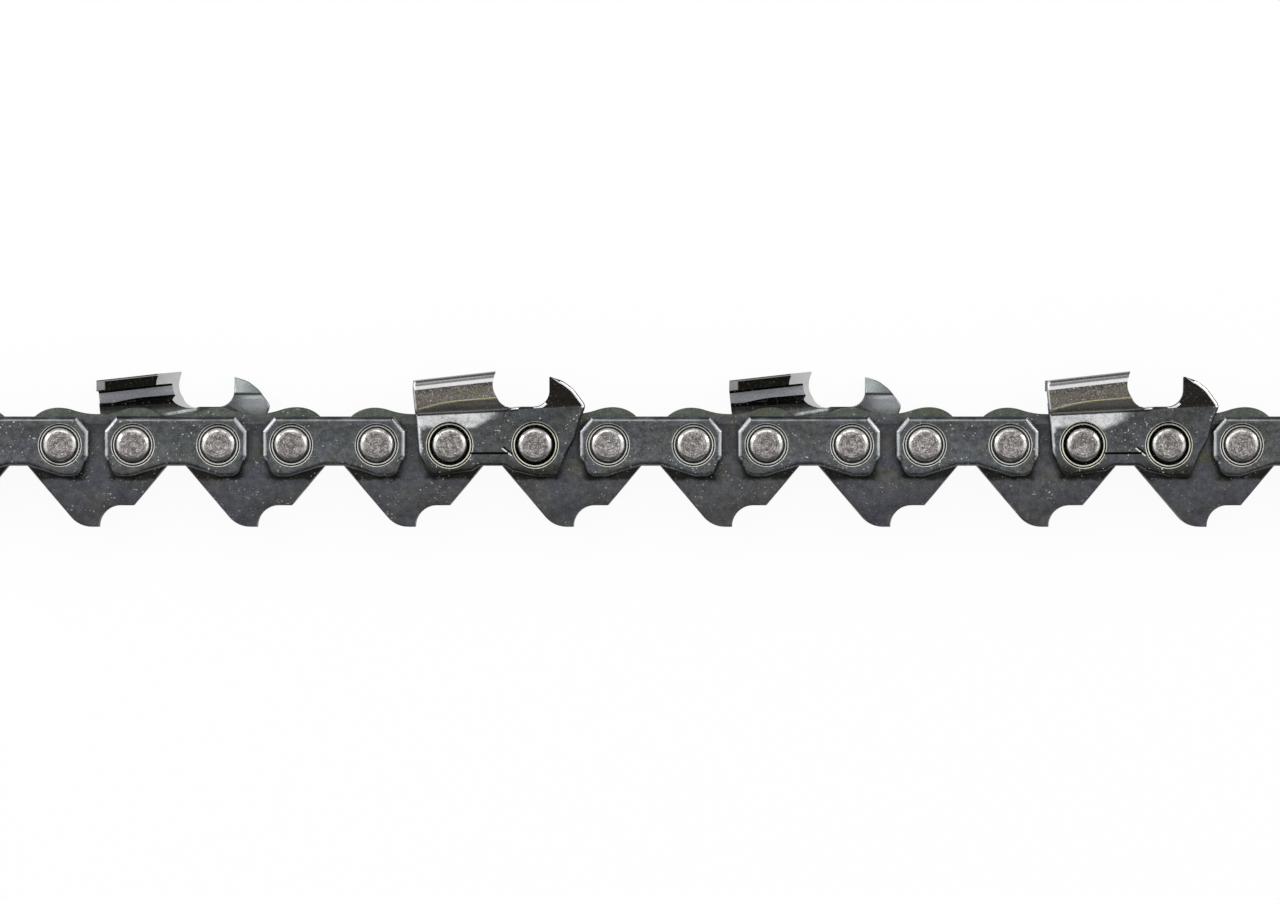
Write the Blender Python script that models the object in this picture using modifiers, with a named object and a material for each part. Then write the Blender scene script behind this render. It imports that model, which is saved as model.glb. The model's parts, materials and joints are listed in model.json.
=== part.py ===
"""Chainsaw chain: a straight length as cut from a reel, lying on its side.

X runs along the chain in its travel direction, +Y is the cutting side, -Y is the side that
runs in the guide bar's groove, and Z is the direction of every rivet. The right-hand plates
are on top (+Z). Lengths are in metres, written as millimetres times MM.
"""

import math

import bmesh
import bpy
from mathutils import Matrix, Vector

MM = 0.001

# Layout of the chain
PITCH = 9.525 * MM  # half of the distance over three rivets: the 3/8 inch size
LINK_SPAN = 8.77 * MM  # rivet to rivet in a drive link
STRAP_SPAN = 2 * PITCH - LINK_SPAN  # rivet to rivet in a tie strap or a cutter
PAIRS_EACH_SIDE = 4  # strap pairs on each side of the middle pair
CUTTER_EVERY = 2  # every second strap pair carries a cutter, right and left in turn

# Thicknesses and clearances, along the rivets
DRIVE_GAUGE = 1.5 * MM  # drive link thickness, which fits the bar groove
STRAP_GAUGE = 1.5 * MM
SIDE_CLEARANCE = 0.1 * MM  # between a drive link and the plate beside it
FLANGE_CLEARANCE = 0.05 * MM  # between the rivet's shoulder and the plate
FIT_CLEARANCE = 0.06 * MM  # rivet to plate, which don't turn on each other
RUNNING_CLEARANCE = 0.08 * MM  # rivet to drive link, which turn

PLATE_IN = DRIVE_GAUGE / 2 + SIDE_CLEARANCE
PLATE_OUT = PLATE_IN + STRAP_GAUGE

# Rivet: a stepped pin with two domed heads
ROUND_SIDES = 12
HUB_RADIUS = 1.6 * MM
FLANGE_RADIUS = 2.3 * MM
HEAD_RADIUS = 2.15 * MM
HEAD_HEIGHT = 0.8 * MM
HEAD_RIM_HEIGHT = 0.35 * MM
HEAD_FLAT_RADIUS = 1.3 * MM
RECESS_DEPTH = 0.2 * MM  # of the coined ring round each head
STRAP_RECESS_RADIUS = 2.5 * MM
CUTTER_RECESS_RADIUS = 2.75 * MM

# Drive link
LINK_END_RADIUS = 4.45 * MM
LINK_DIP = 3.73 * MM  # top edge above the pitch line, midway between the rivets
LINK_HUMP_ANGLE = math.radians(70)
LINK_SIDE_ANGLE = math.radians(195)
LINK_SHOULDER_RADIUS = 4.75 * MM
LINK_SHOULDER_ANGLE = math.radians(211)
TANG_DEPTH = 9.86 * MM
TANG_TIP_X = 0.28 * MM
TANG_TOE_X = -2.15 * MM
TANG_TOE_RADIUS = 3.3 * MM
TANG_STEP_DEPTH = 7.27 * MM
TANG_HOOK_RADIUS = 2.58 * MM
TANG_HEEL_X = 4.4 * MM
TANG_HEEL_RADIUS = 0.3 * MM

# Tie strap, with its end sizes measured from the nearer rivet
STRAP_TOP = 3.44 * MM
STRAP_SHOULDER = 2.01 * MM
STRAP_END = 3.51 * MM
STRAP_END_TOP = 1.67 * MM
STRAP_END_BOTTOM = 1.4 * MM
STRAP_NOTCH = 3.06 * MM
STRAP_NOTCH_DEPTH = 1.95 * MM
FOOT_DEPTH = 3.82 * MM  # where straps and cutters ride on the bar rails
FOOT_OUTER = 2.31 * MM
FOOT_INNER = 0.16 * MM
FOOT_OUTER_RADIUS = 1.3 * MM
FOOT_INNER_RADIUS = 1.2 * MM
WAIST_DEPTH = 2.5 * MM
WAIST_HALF = 1.3 * MM
WAIST_RADIUS = 1.5 * MM
EDGE_ROLL = 0.45 * MM  # rounded outer edge of a stamped plate

# Cutter ends: gaps along X to where the plates behind and ahead of it end, below its overhangs
NEIGHBOUR_END = STRAP_SPAN / 2 + LINK_SPAN - STRAP_END  # from the cutter's middle, both ways
TOOTH_REAR = 0.84 * MM - NEIGHBOUR_END
TOOTH_REAR_HEIGHT = 6.49 * MM  # the rear edge is square above this height
HEEL_GAP = 1.31 * MM
HEEL_HEIGHT = 2 * MM
HEEL_LOW_GAP = 1.51 * MM
HEEL_LOW_DEPTH = 0.9 * MM
HEEL_RADIUS = 1.5 * MM
FRONT_LOW_GAP = 1.6 * MM
FRONT_LOW_DEPTH = 1.25 * MM
FRONT_MID_GAP = 0.5 * MM
FRONT_MID_HEIGHT = 0.69 * MM
FRONT_HIGH_GAP = 0.1 * MM
FRONT_HIGH_HEIGHT = 2.4 * MM
NOSE_OVERHANG = 0.85 * MM  # the nose reaches over the next plate's sloping corner
NOSE_HEIGHT = 4.75 * MM
NOSE_RADIUS = 0.9 * MM
BROW_GAP = 0.65 * MM
BROW_HEIGHT = 6.75 * MM
GAUGE_TOP_GAP = 1.9 * MM
GAUGE_TOP_HEIGHT = 7.7 * MM

# Cutter feet: a notch under the waist, the same on both sides of the middle, and a square front
NOTCH_TOP_HALF = 1.5 * MM
NOTCH_FOOT_HALF = 2.45 * MM
NOTCH_FOOT_DEPTH = 3.12 * MM
NOTCH_RADIUS = 0.5 * MM
FRONT_FOOT_OUTER = 2.61 * MM  # from the nearer rivet
FRONT_FOOT_RADIUS = 0.6 * MM

# Tooth: heights above the pitch line at the cutter's middle, and how they rise to the front
STEP_HEIGHT = 4.14 * MM
STEP_RISE = 0.05
BEND_HEIGHT = 5.64 * MM
BEND_RISE = 0.1455
TOP_HEIGHT = 8.83 * MM
TOP_RISE = 0.112
CORNER_RADIUS = 1.21 * MM  # outside corner between the side plate and the top plate
CORNER_FACETS = 4
SIDE_OFFSET_FRONT = 1.35 * MM  # how far the side plate stands out of the body
SIDE_OFFSET_REAR = 1.0 * MM
TOOTH_GAUGE = 1.3 * MM
TOP_PLATE_WIDTH = 4.9 * MM
INNER_FLARE_START = 1.1 * MM  # above the step on the outside
INNER_BEND_SHARE = 0.3  # heights of the inside bend and corner, as shares of the side plate
INNER_CORNER_SHARE = 0.7
INNER_CORNER_WIDTH = 0.5 * MM

# Gullet and depth gauge
BLANK_FRONT = 1.5 * MM
GULLET_FLOOR = 4.62 * MM
GULLET_RADIUS = 1.9 * MM
GAUGE_REAR = STRAP_SPAN / 2 + 1.72 * MM
GAUGE_TIP = 8.25 * MM
GAUGE_LEAN = math.radians(16)
GAUGE_CREASE = 6.19 * MM  # height at which the inside starts to lean
GAUGE_CREASE_WIDTH = 0.4 * MM
GAUGE_CREASE_DROP = 0.6 * MM
GAUGE_BLEND = 1.5 * MM  # length over which the tooth's section turns into the gauge's
FILE_DIAMETER = 5.556 * MM  # the 7/32 inch round file that shapes the tooth
FILE_ANGLE = math.radians(30)
FILE_X = 3.2 * MM
FILE_Y = 7.45 * MM
FILE_SIDES = 22

# How far a cutting tool or a blank reaches past what it cuts
OVERCUT = 1 * MM
BLANK_BELOW = -FOOT_DEPTH - 2 * OVERCUT


def polar(center, radius, angle):
    return (center[0] + radius * math.cos(angle), center[1] + radius * math.sin(angle))


def arc(center, radius, start, end, steps):
    return [polar(center, radius, start + (end - start) * i / steps) for i in range(steps + 1)]


def rounded(corners):
    """Outline through corners (x, y, radius), each corner replaced by an arc of its radius."""
    points = []
    for index, (x, y, radius) in enumerate(corners):
        here = Vector((x, y))
        if not radius:
            points.append((x, y))
            continue
        before = (Vector(corners[index - 1][:2]) - here).normalized()
        after = (Vector(corners[(index + 1) % len(corners)][:2]) - here).normalized()
        opening = before.angle(after)
        center = here + (before + after).normalized() * radius / math.sin(opening / 2)
        first = here + before * radius / math.tan(opening / 2) - center
        turn = first.angle_signed(here + after * radius / math.tan(opening / 2) - center)
        steps = max(1, round(abs(turn) / math.radians(30)))
        for step in range(steps + 1):
            points.append(tuple(center + Matrix.Rotation(-turn * step / steps, 2) @ first))
    return points


def new_object(name, mesh, collection):
    thing = bpy.data.objects.new(name, mesh)
    collection.objects.link(thing)
    return thing


def plate(name, outlines, bottom, top, collection):
    """Flat plate between two Z values from a 2D curve; outlines after the first are holes."""
    curve = bpy.data.curves.new(name, "CURVE")
    curve.dimensions = "2D"
    curve.fill_mode = "BOTH"
    curve.extrude = (top - bottom) / 2
    for outline in outlines:
        spline = curve.splines.new("POLY")
        spline.points.add(len(outline) - 1)
        spline.use_cyclic_u = True
        for point, (x, y) in zip(spline.points, outline):
            point.co = (x, y, 0, 1)
    drawn = new_object(name + "_curve", curve, collection)
    bpy.context.view_layer.update()
    evaluated = drawn.evaluated_get(bpy.context.evaluated_depsgraph_get())
    mesh = bpy.data.meshes.new_from_object(evaluated)
    mesh.name = name
    mesh.transform(Matrix.Translation((0, 0, (top + bottom) / 2)))
    shape = bmesh.new()
    shape.from_mesh(mesh)
    bmesh.ops.remove_doubles(shape, verts=shape.verts, dist=0.0001 * MM)
    bmesh.ops.recalc_face_normals(shape, faces=shape.faces)
    shape.to_mesh(mesh)
    shape.free()
    bpy.data.objects.remove(drawn)
    return mesh


def turned(name, profile, sides, collection):
    """Solid of revolution about Z from a profile (radius, z) that runs top to bottom."""
    mesh = bpy.data.meshes.new(name)
    points = [(radius, 0, z) for radius, z in profile]
    mesh.from_pydata(points, [(i, i + 1) for i in range(len(points) - 1)], [])
    thing = new_object(name, mesh, collection)
    screw = thing.modifiers.new("turn", "SCREW")
    screw.axis = "Z"
    screw.steps = sides
    screw.render_steps = sides
    screw.use_merge_vertices = True
    screw.merge_threshold = 0.0001 * MM
    screw.use_smooth_shade = False
    return thing


def finished(thing, smooth_angle=None):
    """Mesh of an object with its modifiers applied, without the object."""
    bpy.context.view_layer.update()
    evaluated = thing.evaluated_get(bpy.context.evaluated_depsgraph_get())
    mesh = bpy.data.meshes.new_from_object(evaluated)
    mesh.name = thing.name
    bpy.data.objects.remove(thing)
    if smooth_angle:
        mesh.shade_smooth()
        mesh.set_sharp_from_angle(angle=smooth_angle)
    return mesh


def cut(thing, tool, operation="DIFFERENCE"):
    modifier = thing.modifiers.new(tool.name, "BOOLEAN")
    modifier.operation = operation
    modifier.solver = "EXACT"
    modifier.object = tool


def hide_tool(tool):
    tool.hide_render = True
    tool.display_type = "WIRE"


def material(name, color, roughness, metallic):
    made = bpy.data.materials.new(name)
    made.use_nodes = True
    shader = made.node_tree.nodes["Principled BSDF"]
    shader.inputs["Base Color"].default_value = (*color, 1)
    shader.inputs["Roughness"].default_value = roughness
    shader.inputs["Metallic"].default_value = metallic
    made.diffuse_color = (*color, 1)
    return made


def round_hole(x, radius):
    """Hole outline whose flats stay outside the radius, so that a round pin turns in it."""
    corner_radius = radius / math.cos(math.pi / ROUND_SIDES)
    return arc((x, 0), corner_radius, 0, 2 * math.pi * (1 - 1 / ROUND_SIDES), ROUND_SIDES - 1)


def link_outline():
    half = LINK_SPAN / 2
    rear = arc((-half, 0), LINK_END_RADIUS, LINK_HUMP_ANGLE, LINK_SIDE_ANGLE, 6)
    front = [(-x, y) for x, y in reversed(rear)]
    shoulder = polar((-half, 0), LINK_SHOULDER_RADIUS, LINK_SHOULDER_ANGLE)
    hump = rear[0]
    dip = []
    for part in (0.6, 0.2, -0.2, -0.6):
        dip.append((-hump[0] * part, LINK_DIP + (hump[1] - LINK_DIP) * part * part))
    tang = rounded(
        [
            (*shoulder, 0),
            (TANG_TOE_X, -TANG_DEPTH, TANG_TOE_RADIUS),
            (TANG_TIP_X, -TANG_DEPTH, 0),
            (TANG_TIP_X, -TANG_STEP_DEPTH, TANG_HOOK_RADIUS),
            (TANG_HEEL_X, -TANG_STEP_DEPTH, TANG_HEEL_RADIUS),
            (-shoulder[0], shoulder[1], 0),
        ]
    )
    return rear + tang + front + dip


def strap_outline():
    pin = STRAP_SPAN / 2
    half = [
        (WAIST_HALF, -WAIST_DEPTH, WAIST_RADIUS),
        (pin + FOOT_INNER, -FOOT_DEPTH, FOOT_INNER_RADIUS),
        (pin + FOOT_OUTER, -FOOT_DEPTH, FOOT_OUTER_RADIUS),
        (pin + STRAP_NOTCH, -STRAP_NOTCH_DEPTH, 0),
        (pin + STRAP_END, -STRAP_END_BOTTOM, 0),
        (pin + STRAP_END, STRAP_END_TOP, 0),
        (pin + STRAP_SHOULDER, STRAP_TOP, 0),
    ]
    mirrored = [(-x, y, radius) for x, y, radius in reversed(half)]
    return rounded(half + mirrored)


def cutter_outline():
    """Side view of the cutter blank, open above the tooth, whose top the section shapes."""
    pin = STRAP_SPAN / 2
    above = TOP_HEIGHT + 3 * OVERCUT
    heel = HEEL_GAP - NEIGHBOUR_END
    heel_low = HEEL_LOW_GAP - NEIGHBOUR_END
    return rounded(
        [
            (TOOTH_REAR, above, 0),
            (TOOTH_REAR, TOOTH_REAR_HEIGHT, 0),
            (heel, HEEL_HEIGHT, 0),
            (heel_low, -HEEL_LOW_DEPTH, HEEL_RADIUS),
            (-pin - FOOT_OUTER, -FOOT_DEPTH, FOOT_OUTER_RADIUS),
            (-NOTCH_FOOT_HALF, -NOTCH_FOOT_DEPTH, NOTCH_RADIUS),
            (-NOTCH_TOP_HALF, -WAIST_DEPTH, NOTCH_RADIUS),
            (NOTCH_TOP_HALF, -WAIST_DEPTH, NOTCH_RADIUS),
            (NOTCH_FOOT_HALF, -NOTCH_FOOT_DEPTH, NOTCH_RADIUS),
            (pin + FOOT_INNER, -FOOT_DEPTH, FOOT_INNER_RADIUS),
            (pin + FRONT_FOOT_OUTER, -FOOT_DEPTH, FRONT_FOOT_RADIUS),
            (NEIGHBOUR_END - FRONT_LOW_GAP, -FRONT_LOW_DEPTH, 0),
            (NEIGHBOUR_END - FRONT_MID_GAP, FRONT_MID_HEIGHT, 0),
            (NEIGHBOUR_END - FRONT_HIGH_GAP, FRONT_HIGH_HEIGHT, 0),
            (NEIGHBOUR_END + NOSE_OVERHANG, NOSE_HEIGHT, NOSE_RADIUS),
            (NEIGHBOUR_END - BROW_GAP, BROW_HEIGHT, 0),
            (NEIGHBOUR_END - GAUGE_TOP_GAP, GAUGE_TOP_HEIGHT, 0),
            (GAUGE_REAR, GAUGE_TIP, 0),
            (GAUGE_REAR, GULLET_FLOOR, GULLET_RADIUS),
            (BLANK_FRONT, GULLET_FLOOR, 0),
            (BLANK_FRONT, above, 0),
        ]
    )


def tooth_section(x, side_offset):
    """Cross-section (z, y) through the body, flare, side plate, rounded corner and top plate."""
    step = STEP_HEIGHT + STEP_RISE * x
    bend = BEND_HEIGHT + BEND_RISE * x
    top = TOP_HEIGHT + TOP_RISE * x
    corner = top - CORNER_RADIUS
    side = PLATE_OUT + side_offset
    inside = side - TOOTH_GAUGE
    over = side - TOP_PLATE_WIDTH
    quarter = arc((side - CORNER_RADIUS, corner), CORNER_RADIUS, 0, math.pi / 2, CORNER_FACETS)
    return [
        (PLATE_IN, BLANK_BELOW),
        (PLATE_OUT, BLANK_BELOW),
        (PLATE_OUT, step),
        (side, bend),
        *quarter,
        (over, top),
        (over, top - TOOTH_GAUGE),
        (inside - INNER_CORNER_WIDTH, top - TOOTH_GAUGE),
        (inside, bend + INNER_CORNER_SHARE * (corner - bend)),
        (inside, bend + INNER_BEND_SHARE * (corner - bend)),
        (PLATE_IN, step + INNER_FLARE_START),
    ]


def gauge_section(x, count):
    """Cross-section (z, y) of body and leaning depth gauge, with as many points as the tooth's."""
    step = STEP_HEIGHT + STEP_RISE * x
    slope = math.tan(GAUGE_LEAN)
    above = GAUGE_TIP + OVERCUT
    section = [(PLATE_IN, BLANK_BELOW), (PLATE_OUT, BLANK_BELOW), (PLATE_OUT, step)]
    outer_steps = count // 2 - 3
    for index in range(1, outer_steps + 1):
        y = step + (above - step) * index / outer_steps
        section.append((PLATE_OUT + slope * (y - step), y))
    inner_steps = count - len(section) - 2
    for index in range(inner_steps + 1):
        y = above + (GAUGE_CREASE - above) * index / inner_steps
        section.append((PLATE_IN + GAUGE_CREASE_WIDTH + slope * (y - GAUGE_CREASE), y))
    section.append((PLATE_IN, GAUGE_CREASE - GAUGE_CREASE_DROP))
    return section


def loft(name, stations, collection):
    """Closed solid through cross-sections (z, y) with equal numbers of points, at given X."""
    shape = bmesh.new()
    rings = []
    for x, section in stations:
        rings.append([shape.verts.new((x, y, z)) for z, y in section])
    count = len(rings[0])
    for first, second in zip(rings, rings[1:]):
        for i in range(count):
            j = (i + 1) % count
            shape.faces.new((first[i], first[j], second[j], second[i]))
    shape.faces.new(reversed(rings[0]))
    shape.faces.new(rings[-1])
    bmesh.ops.triangulate(shape, faces=shape.faces)
    bmesh.ops.recalc_face_normals(shape, faces=shape.faces)
    mesh = bpy.data.meshes.new(name)
    shape.to_mesh(mesh)
    shape.free()
    return new_object(name, mesh, collection)


def roll_outer_edge(mesh, width):
    """Rounds the rim of a plate's outer face in two steps, as stamping leaves it."""
    shape = bmesh.new()
    shape.from_mesh(mesh)
    top = max(vert.co.z for vert in shape.verts)
    rim = []
    for edge in shape.edges:
        on_top = all(top - vert.co.z < 0.01 * MM for vert in edge.verts)
        if on_top and len(edge.link_faces) == 2 and edge.calc_face_angle() > 1:
            rim.append(edge)
    bmesh.ops.bevel(
        shape,
        geom=rim,
        offset=width,
        offset_type="OFFSET",
        segments=2,
        profile=0.5,
        affect="EDGES",
    )
    shape.to_mesh(mesh)
    shape.free()


def drills(name, recess_radius, collection):
    """Stepped tools for both rivet holes: the hole itself and the coined ring round the head."""
    corner = 1 / math.cos(math.pi / ROUND_SIDES)
    hole = (HUB_RADIUS + FIT_CLEARANCE) * corner
    ring = recess_radius * corner
    floor = PLATE_OUT - RECESS_DEPTH
    above = PLATE_OUT + OVERCUT
    below = PLATE_IN - OVERCUT
    profile = [(0, above), (ring, above), (ring, floor), (hole, floor), (hole, below), (0, below)]
    tools = []
    for end, x in (("rear", -STRAP_SPAN / 2), ("front", STRAP_SPAN / 2)):
        tool = turned(f"{name}_{end}_drill", profile, ROUND_SIDES, collection)
        tool.location.x = x
        hide_tool(tool)
        tools.append(tool)
    return tools


def round_file(collection):
    """The round file that cuts the gullet and the slanted front of the tooth."""
    shape = bmesh.new()
    bmesh.ops.create_cone(
        shape,
        cap_ends=True,
        segments=FILE_SIDES,
        radius1=FILE_DIAMETER / 2,
        radius2=FILE_DIAMETER / 2,
        depth=3 * TOP_PLATE_WIDTH + FILE_DIAMETER,
    )
    mesh = bpy.data.meshes.new("round_file")
    shape.to_mesh(mesh)
    shape.free()
    tool = new_object("round_file", mesh, collection)
    tool.location = (FILE_X, FILE_Y, PLATE_OUT + SIDE_OFFSET_FRONT)
    tool.rotation_euler = (0, FILE_ANGLE, 0)
    hide_tool(tool)
    return tool


def rivet_mesh(collection):
    base = PLATE_OUT - RECESS_DEPTH + FIT_CLEARANCE
    flange = PLATE_IN - FLANGE_CLEARANCE
    upper = [
        (0, base + HEAD_HEIGHT),
        (HEAD_FLAT_RADIUS, base + HEAD_HEIGHT),
        (HEAD_RADIUS, base + HEAD_RIM_HEIGHT),
        (HEAD_RADIUS, base),
        (HUB_RADIUS, base),
        (HUB_RADIUS, flange),
        (FLANGE_RADIUS, flange),
    ]
    lower = [(radius, -z) for radius, z in reversed(upper)]
    rivet = turned("rivet", upper + lower, ROUND_SIDES, collection)
    return finished(rivet, math.radians(40))


def link_mesh(collection):
    radius = FLANGE_RADIUS + RUNNING_CLEARANCE
    holes = [round_hole(x, radius) for x in (-LINK_SPAN / 2, LINK_SPAN / 2)]
    half = DRIVE_GAUGE / 2
    return plate("drive_link", [link_outline(), *holes], -half, half, collection)


def strap_mesh(collection):
    mesh = plate("tie_strap", [strap_outline()], PLATE_IN, PLATE_OUT, collection)
    roll_outer_edge(mesh, EDGE_ROLL)
    strap = new_object("tie_strap", mesh, collection)
    for tool in drills("strap", STRAP_RECESS_RADIUS, collection):
        cut(strap, tool)
    return finished(strap)


def cutter_mesh(collection):
    rear = TOOTH_REAR - OVERCUT
    front = NEIGHBOUR_END + NOSE_OVERHANG + OVERCUT
    blank_end = BLANK_FRONT + 0.3 * OVERCUT
    gauge_start = blank_end + GAUGE_BLEND
    tooth_end = tooth_section(blank_end, SIDE_OFFSET_FRONT)
    stations = [
        (rear, tooth_section(rear, SIDE_OFFSET_REAR)),
        (blank_end, tooth_end),
        (gauge_start, gauge_section(gauge_start, len(tooth_end))),
        (front, gauge_section(front, len(tooth_end))),
    ]
    blank = loft("cutter", stations, collection)
    deep = PLATE_OUT + 2 * TOP_PLATE_WIDTH
    sheet = plate("blank_outline", [cutter_outline()], -deep, deep, collection)
    outline = new_object("blank_outline", sheet, collection)
    hide_tool(outline)
    cut(blank, outline, "INTERSECT")
    cut(blank, round_file(collection))
    for tool in drills("cutter", CUTTER_RECESS_RADIUS, collection):
        cut(blank, tool)
    return finished(blank)


def mirrored_mesh(mesh, name):
    """The left-hand twin of a right-hand plate, mirrored through the chain's middle plane."""
    twin = mesh.copy()
    twin.name = name
    twin.transform(Matrix.Scale(-1, 4, (0, 0, 1)))
    twin.flip_normals()
    return twin


def body_frame(name, x, parent, collection):
    """Empty on a body's joint axis, which its pieces and the next body hang on."""
    empty = bpy.data.objects.new(name, None)
    empty.empty_display_size = 2 * MM
    collection.objects.link(empty)
    empty.parent = parent
    empty.location.x = x - (world_x(parent) if parent else 0)
    return empty


def world_x(thing):
    return thing.location.x + (world_x(thing.parent) if thing.parent else 0)


def place(name, mesh, look, x, body, collection, turn=0.0):
    thing = new_object(name, mesh, collection)
    thing.parent = body
    thing.location.x = x - world_x(body)
    thing.rotation_euler.y = turn
    thing.material_slots[0].link = "OBJECT"
    thing.material_slots[0].material = look
    return thing


def add_pair(pair, body, meshes, looks, counts, collection):
    """Two side plates and the two rivets that hold them, as one rigid body."""
    x = 2 * PITCH * pair
    for side in ("right", "left"):
        kind = plate_kind(pair, side)
        key = side + "_" + kind
        counts[key] = counts.get(key, 0) + 1
        mesh = meshes[key] if kind == "cutter" else meshes["tie_strap"]
        turn = math.pi if kind == "tie_strap" and side == "left" else 0.0
        place(f"{key}_{counts[key]:02d}", mesh, looks[kind], x, body, collection, turn)
    for rivet_x in (x - STRAP_SPAN / 2, x + STRAP_SPAN / 2):
        number = round((rivet_x + (2 * PAIRS_EACH_SIDE + 1) * PITCH) / PITCH + 0.5)
        place(f"rivet_{number:02d}", meshes["rivet"], looks["rivet"], rivet_x, body, collection)


def plate_kind(pair, side):
    """Every second pair carries a cutter: left-hand after the middle pair, then right-hand."""
    if pair % CUTTER_EVERY == 0:
        return "tie_strap"
    left_handed = (pair // CUTTER_EVERY) % 2 == 0
    return "cutter" if (side == "left") == left_handed else "tie_strap"


def add_link(number, x, body, meshes, looks, collection):
    name = f"drive_link_{number:02d}"
    place(name, meshes["drive_link"], looks["drive_link"], x, body, collection)


def main():
    for thing in list(bpy.data.objects):
        bpy.data.objects.remove(thing)
    chain = bpy.data.collections.new("chainsaw_chain")
    tools_collection = bpy.data.collections.new("chain_cutting_tools")
    bpy.context.scene.collection.children.link(chain)
    bpy.context.scene.collection.children.link(tools_collection)

    looks = {
        "drive_link": material("drive_link_steel", (0.075, 0.08, 0.075), 0.42, 1.0),
        "tie_strap": material("tie_strap_steel", (0.11, 0.11, 0.125), 0.36, 1.0),
        "cutter": material("cutter_chrome_steel", (0.13, 0.13, 0.135), 0.34, 1.0),
        "rivet": material("rivet_steel", (0.45, 0.43, 0.40), 0.32, 1.0),
    }
    cutter = cutter_mesh(tools_collection)
    meshes = {
        "drive_link": link_mesh(tools_collection),
        "tie_strap": strap_mesh(tools_collection),
        "right_cutter": cutter,
        "left_cutter": mirrored_mesh(cutter, "left_cutter"),
        "rivet": rivet_mesh(tools_collection),
    }
    for mesh in meshes.values():
        mesh.materials.clear()
        mesh.materials.append(None)

    # The middle pair is the fixed body; drive links and pairs follow in turn on both sides.
    middle = body_frame("pair_5_axis", 0, None, chain)
    bodies = {0: middle}
    for side in (-1, 1):
        parent = middle
        for step in range(1, PAIRS_EACH_SIDE + 1):
            link_x = side * PITCH * (2 * step - 1)
            link = 2 * step - 1
            axis_x = link_x - side * LINK_SPAN / 2
            parent = body_frame(f"link_axis_{side * link}", axis_x, parent, chain)
            bodies[side * link] = parent
            pair_x = side * 2 * PITCH * step
            axis_x = pair_x - side * STRAP_SPAN / 2
            parent = body_frame(f"pair_axis_{side * 2 * step}", axis_x, parent, chain)
            bodies[side * 2 * step] = parent
        last = 2 * PAIRS_EACH_SIDE + 1
        axis_x = side * (PITCH * last - LINK_SPAN / 2)
        bodies[side * last] = body_frame(f"link_axis_{side * last}", axis_x, parent, chain)

    counts = {}
    for index in sorted(bodies):
        if index % 2:
            number = (index + 2 * PAIRS_EACH_SIDE + 3) // 2
            add_link(number, PITCH * index, bodies[index], meshes, looks, chain)
        else:
            add_pair(index // 2, bodies[index], meshes, looks, counts, chain)


main()
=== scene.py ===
"""Looks of the chainsaw chain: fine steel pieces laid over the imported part, and the studio."""

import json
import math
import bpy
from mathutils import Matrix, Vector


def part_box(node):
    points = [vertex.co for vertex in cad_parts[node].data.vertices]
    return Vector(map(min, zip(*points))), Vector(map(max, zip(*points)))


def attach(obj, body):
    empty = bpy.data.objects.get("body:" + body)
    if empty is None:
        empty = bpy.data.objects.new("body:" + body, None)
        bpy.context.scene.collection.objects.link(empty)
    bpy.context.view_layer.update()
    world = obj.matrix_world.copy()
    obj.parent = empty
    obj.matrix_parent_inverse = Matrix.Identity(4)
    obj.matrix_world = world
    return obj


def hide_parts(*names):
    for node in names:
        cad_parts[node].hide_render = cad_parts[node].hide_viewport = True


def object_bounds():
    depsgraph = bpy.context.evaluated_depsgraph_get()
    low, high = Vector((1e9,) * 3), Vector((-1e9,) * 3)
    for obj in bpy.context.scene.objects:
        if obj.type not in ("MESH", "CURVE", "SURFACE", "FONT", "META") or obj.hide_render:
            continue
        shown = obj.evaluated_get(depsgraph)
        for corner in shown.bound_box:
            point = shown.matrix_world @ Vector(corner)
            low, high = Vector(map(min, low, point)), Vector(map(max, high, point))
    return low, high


bl_info = {
    "name": "Saw Chain Looks",
    "version": (1, 0, 0),
    "blender": (4, 5, 0),
    "location": "View3D > Sidebar > Saw Chain",
    "description": "Builds the drive links, tie straps, cutters and rivets of a saw chain, and a studio",
    "category": "Object",
}

import bmesh
import bpy
from bpy.props import FloatProperty, FloatVectorProperty, IntProperty, PointerProperty
from mathutils import Matrix, Vector

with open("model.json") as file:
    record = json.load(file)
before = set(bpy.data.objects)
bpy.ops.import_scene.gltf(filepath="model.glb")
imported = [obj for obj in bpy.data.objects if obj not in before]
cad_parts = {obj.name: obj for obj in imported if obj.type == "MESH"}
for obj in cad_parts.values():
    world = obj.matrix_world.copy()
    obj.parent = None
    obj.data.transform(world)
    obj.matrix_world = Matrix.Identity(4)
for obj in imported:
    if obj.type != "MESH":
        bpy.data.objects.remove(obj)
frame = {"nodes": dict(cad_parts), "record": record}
CAD_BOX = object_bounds()

MM = 0.001
ARC_STEP = math.radians(9)  # turn from point to point on a rounded corner
BODIES = frame["record"]["behaviour"]["bodies"]
LINK_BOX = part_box("drive_link_06")
STRAP_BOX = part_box("right_tie_strap_04")
PLATE_IN, PLATE_OUT = STRAP_BOX[0][2], STRAP_BOX[1][2]


def box_center_x(node):
    low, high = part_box(node)
    return (low[0] + high[0]) / 2


def body_of(node):
    return next(body for body, nodes in BODIES.items() if node in nodes)


def pair_rivets(node):
    """X of the two rivets that ride on the same body as a plate."""
    return [box_center_x(name) for name in BODIES[body_of(node)] if name.startswith("rivet")]


def pair_center_x(node):
    rivets = pair_rivets(node)
    return sum(rivets) / len(rivets)


def nodes_named(start):
    return sorted(name for name in frame["nodes"] if name.startswith(start))


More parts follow.
